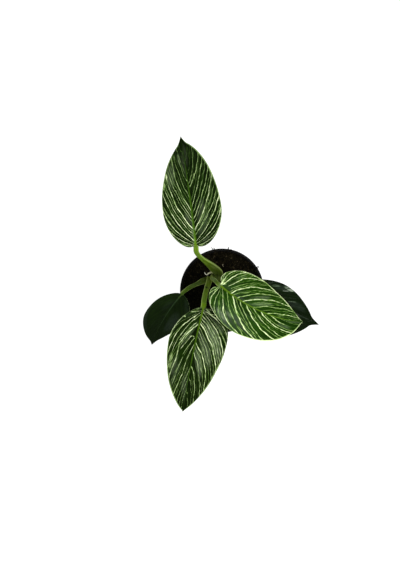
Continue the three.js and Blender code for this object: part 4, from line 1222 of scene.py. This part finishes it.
# Lumps that stand out: place on the mix, half length in mm, and tone from 0 to 1.
MARKED_LUMPS = [((-47.2, 25.1), 1.0, 0.95), ((-46.0, 23.2), 0.8, 0.94), ((-44.9, 20.8), 0.9, 0.95),
                ((13.0, 46.0), 1.4, 0.93), ((22.0, 41.5), 1.2, 0.92), ((38.0, 30.0), 1.3, 0.93),
                ((31.0, 36.5), 1.0, 0.94), ((-12.0, 47.0), 1.2, 0.92), ((6.0, 48.5), 1.3, 0.95),
                ((45.0, 20.0), 1.4, 0.92)]
LOOSE_LUMPS = 900        # crumbs and chips on the mix
LUMP_REACH = 53.5        # how far from the pot's axis they lie
RIM_CRUMBS = 150         # crumbs left lying on the pot's lip
WALL_CRUMBS = 420        # crumbs that cling to the wall between the mix and the lip


def soil_lumps(coat):
    """Peat crumbs and bark chips on the mix, the wall and the lip, each with its own tone."""
    rng = np.random.default_rng(11)
    ball, ball_faces = lump_shape()
    spots = []
    for _ in range(LOOSE_LUMPS):
        radius, angle = LUMP_REACH * math.sqrt(rng.random()), rng.random() * 2 * math.pi
        size = 0.6 + 1.7 * rng.random() ** 3
        spots.append((polar(radius, angle), size, 0.95 * rng.random() ** 1.1))
    rim_spots = []
    for _ in range(RIM_CRUMBS):
        radius, angle = 56.6 + 2.6 * rng.random(), math.radians(70 + 55 * rng.normal())
        rim_spots.append((polar(radius, angle), 0.35 + 0.5 * rng.random() ** 2,
                          0.3 + 0.6 * rng.random(), POT["height"]))
    for _ in range(WALL_CRUMBS):
        size, angle = 0.6 + 0.7 * rng.random(), rng.random() * 2 * math.pi
        height = SOIL["level"] + 1.2 + 3.2 * rng.random() ** 1.3
        radius = inner_radius(height) - 0.5 * size
        rim_spots.append((polar(radius, angle), size, 0.35 + 0.5 * rng.random(), height))
    on_mix = [(place, size, tone, float(soil_height(*np.array(place))))
              for place, size, tone in spots + MARKED_LUMPS]
    points, faces, tones = [], [], []
    for (x, y), size, tone, height in on_mix + rim_spots:
        knobs = 1 + 0.28 * np.sin(ball @ rng.normal(size=(3, 3)) * 2.3 + rng.random(3) * 6).mean(1)
        shape = np.array([1.0, mix(0.45, 0.9, rng.random()), mix(0.35, 0.75, rng.random())])
        body = turned(rng, ball * knobs[:, None] * shape * size)
        faces.append(ball_faces + len(points) * len(ball))
        points.append(body + [x, y, height + 0.25 * size])
        tones += [(tone, rng.random())] * ball_faces.size
    return mesh_piece("bark_and_peat_lumps", np.vstack(points), np.vstack(faces), coat,
                      {"lump": tones})


# Fibres that stick out past the rim: start on the lip, direction in degrees, length, rise.
RIM_FIBRES = [((-12.5, 57.2), 120, 5.0, 1.6), ((-11.5, 57.4), 60, 4.0, 1.0),
              ((-13.5, 57.0), 85, 3.0, 1.8), ((8.0, 57.2), 75, 4.5, 1.6),
              ((9.5, 57.0), 100, 4.5, 1.2), ((10.5, 56.6), 50, 4.0, 1.4),
              ((7.0, 57.4), 110, 3.0, 0.8), ((11.5, 56.4), 80, 3.4, 2.0),
              ((49.0, 32.2), 55, 4.5, 1.0), ((49.6, 31.4), 20, 3.5, 0.5)]
# Pale slivers on the mix, in the same terms.
SLIVERS = [((1.9, 38.0), 250, 4.6, 0.5), ((0.6, 37.4), 300, 2.4, 0.3)]
STRANDS = 230            # fibres lying across the mix
STRAND_REACH = 54.5      # how far from the pot's axis they may run
STRAND_STEPS = 9
STRAND_SIDES = 5


def soil_fibres(coat):
    """Coir and root fibres, lying across the mix and poking over the rim."""
    rng = np.random.default_rng(23)
    strands = []
    for _ in range(STRANDS):
        radius, angle = 50 * math.sqrt(rng.random()), rng.random() * 2 * math.pi
        strands.append((polar(radius, angle), rng.random() * 360, 3 + 9 * rng.random() ** 2,
                        0.8 * rng.random(), 0.11 + 0.12 * rng.random(),
                        0.4 + 0.5 * rng.random(), None))
    strands += [(*fibre, 0.8, 0.3, POT["height"] + 0.4) for fibre in RIM_FIBRES]
    strands += [(*sliver, 0.55, 1.0, None) for sliver in SLIVERS]
    turn = full_turn(STRAND_SIDES)
    share = np.linspace(0, 1, STRAND_STEPS + 1)
    points, faces, tones, first = [], [], [], 0
    for (x, y), heading, length, rise, thick, tone, height in strands:
        bearing = math.radians(heading) + rng.normal() * 0.9 * share + rng.normal() * share ** 2
        step = length / STRAND_STEPS
        px, py = x + np.cumsum(np.cos(bearing)) * step, y + np.cumsum(np.sin(bearing)) * step
        if height is None:
            inside = np.minimum(1, STRAND_REACH / np.maximum(np.hypot(px, py), 1e-6))
            px, py = px * inside, py * inside
            pz = soil_height(px, py) + 0.3 + rise * np.sin(share * math.pi) * length / 6
        else:
            pz = height + rise * np.sin(share * 2.0)
        route = np.stack([px, py, pz], -1)
        ahead = unit(np.gradient(route, axis=0))
        side = unit(np.cross(ahead, [0, 0, 1.0]))
        width = thick * (1 - 0.7 * share)[:, None]
        strand_points, strand_faces = tube(swept_rings(
            route, side, np.cross(side, ahead), width * np.cos(turn), width * np.sin(turn)))
        faces += [tuple(i + first for i in f) for f in strand_faces]
        points.append(strand_points)
        first += len(strand_points)
        tones += [(tone, 0.5)] * sum(len(f) for f in strand_faces)
    return mesh_piece("coir_fibres", np.vstack(points), faces, coat, {"lump": tones})


# ---------------------------------------------------------------- studio

FLOOR_SIDE = 4000        # mm
FLOOR_DROP = 0.3         # mm that the floor lies below the pot's foot
# Soft boxes: name, place in metres, width in metres, watts, and whether gloss shows it.
SOFT_BOXES = [("softbox_right", (0.95, -0.24, 1.66), 0.5, 20, True),
              ("softbox_left", (-0.6, -0.75, 1.7), 1.2, 9, False)]
LIT_POINT = (0, 0, 0.15)                     # where the soft boxes point, in metres
CAMERA_PLACE = (-0.03143, 0.00786, 1.4621)   # straight above, in metres
LENS, SENSOR = 60, 36


def studio():
    """A wide pale floor, an even pale room that is darker underneath, and the camera above."""
    corners = np.array([(-1, -1, 0), (1, -1, 0), (1, 1, 0), (-1, 1, 0)])
    floor = mesh_piece("floor", corners * FLOOR_SIDE / 2 - [0, 0, FLOOR_DROP], [(0, 1, 2, 3)],
                       floor_card())
    floor.visible_glossy = False

    world = bpy.data.worlds.new("room")
    world.use_nodes = True
    world.node_tree.nodes.clear()
    sky = node(world.node_tree, "SeparateXYZ",
               {"Vector": node(world.node_tree, "TexCoord").outputs["Generated"]})
    glow = node(world.node_tree, "ValToRGB", {"Fac": sky.outputs["Z"]},
                stops=[(0.0, "#808080"), (0.5, "#b0b0b0"), (1.0, "#c0c0c0")])
    light = node(world.node_tree, "Background", {"Color": glow, "Strength": 1.0})
    node(world.node_tree, "OutputWorld", {"Surface": light})
    bpy.context.scene.world = world

    for name, place, width, power, in_gloss in SOFT_BOXES:
        lamp = bpy.data.lights.new(name, "AREA")
        lamp.size, lamp.energy = width, power
        holder = bpy.data.objects.new(name, lamp)
        holder.location = place
        holder.rotation_euler = beam_angles(np.array(LIT_POINT) - np.array(place))
        holder.visible_glossy = in_gloss
        bpy.context.scene.collection.objects.link(holder)

    lens = bpy.data.cameras.new("camera")
    lens.lens, lens.sensor_width, lens.clip_end = LENS, SENSOR, 20
    camera = bpy.data.objects.new("camera", lens)
    camera.location = CAMERA_PLACE
    bpy.context.scene.collection.objects.link(camera)
    bpy.context.scene.camera = camera
    bpy.context.scene.view_settings.view_transform = "Standard"


def beam_angles(towards):
    """Euler angles that point a lamp's beam along a direction."""
    x, y, z = towards / np.linalg.norm(towards)
    return math.acos(-z), 0, math.atan2(y, x) - math.pi / 2


def floor_card():
    """Matt white card, lit from behind like a light table so that it stays nearly even."""
    material, tree = blank_material("floor_card")
    card = node(tree, "BsdfPrincipled", {"Base Color": srgb("#8c8c8c"), "Roughness": 0.9,
                                         "Specular IOR Level": 0.0,
                                         "Emission Color": srgb("#ffffff"),
                                         "Emission Strength": 0.92})
    node(tree, "OutputMaterial", {"Surface": card})
    return material


# ---------------------------------------------------------------- the plant in its pot

studio()
seat(pot(moulded_polypropylene()), "pot_plastic", "pot")
seat(soil(moist_peat()), "potting_mix", "soil")
bark = composted_bark()
seat(soil_lumps(bark), "potting_mix")
seat(soil_fibres(bark), "potting_mix")
seat(stem(corky_bark()), "bark", "stem")
seat(dry_sheath(papery_sheath()), "dry_sheath", "dry_sheath")
for leaf_name in LEAVES:
    dark = leaf_name.startswith("low")
    tissue = leaf_tissue(leaf_name, LEAF_TONES[leaf_name], dark)
    underside = leaf_underside(leaf_name, *UNDERSIDE_TONES[leaf_name])
    seat(blade(leaf_name, tissue, underside), "dark_blade" if dark else "striped_blade",
         "blade_" + leaf_name)
    skin = stalk_skin(leaf_name, STALK_TONES[leaf_name])
    seat(petiole(leaf_name, skin), "stalk", "petiole_" + leaf_name)
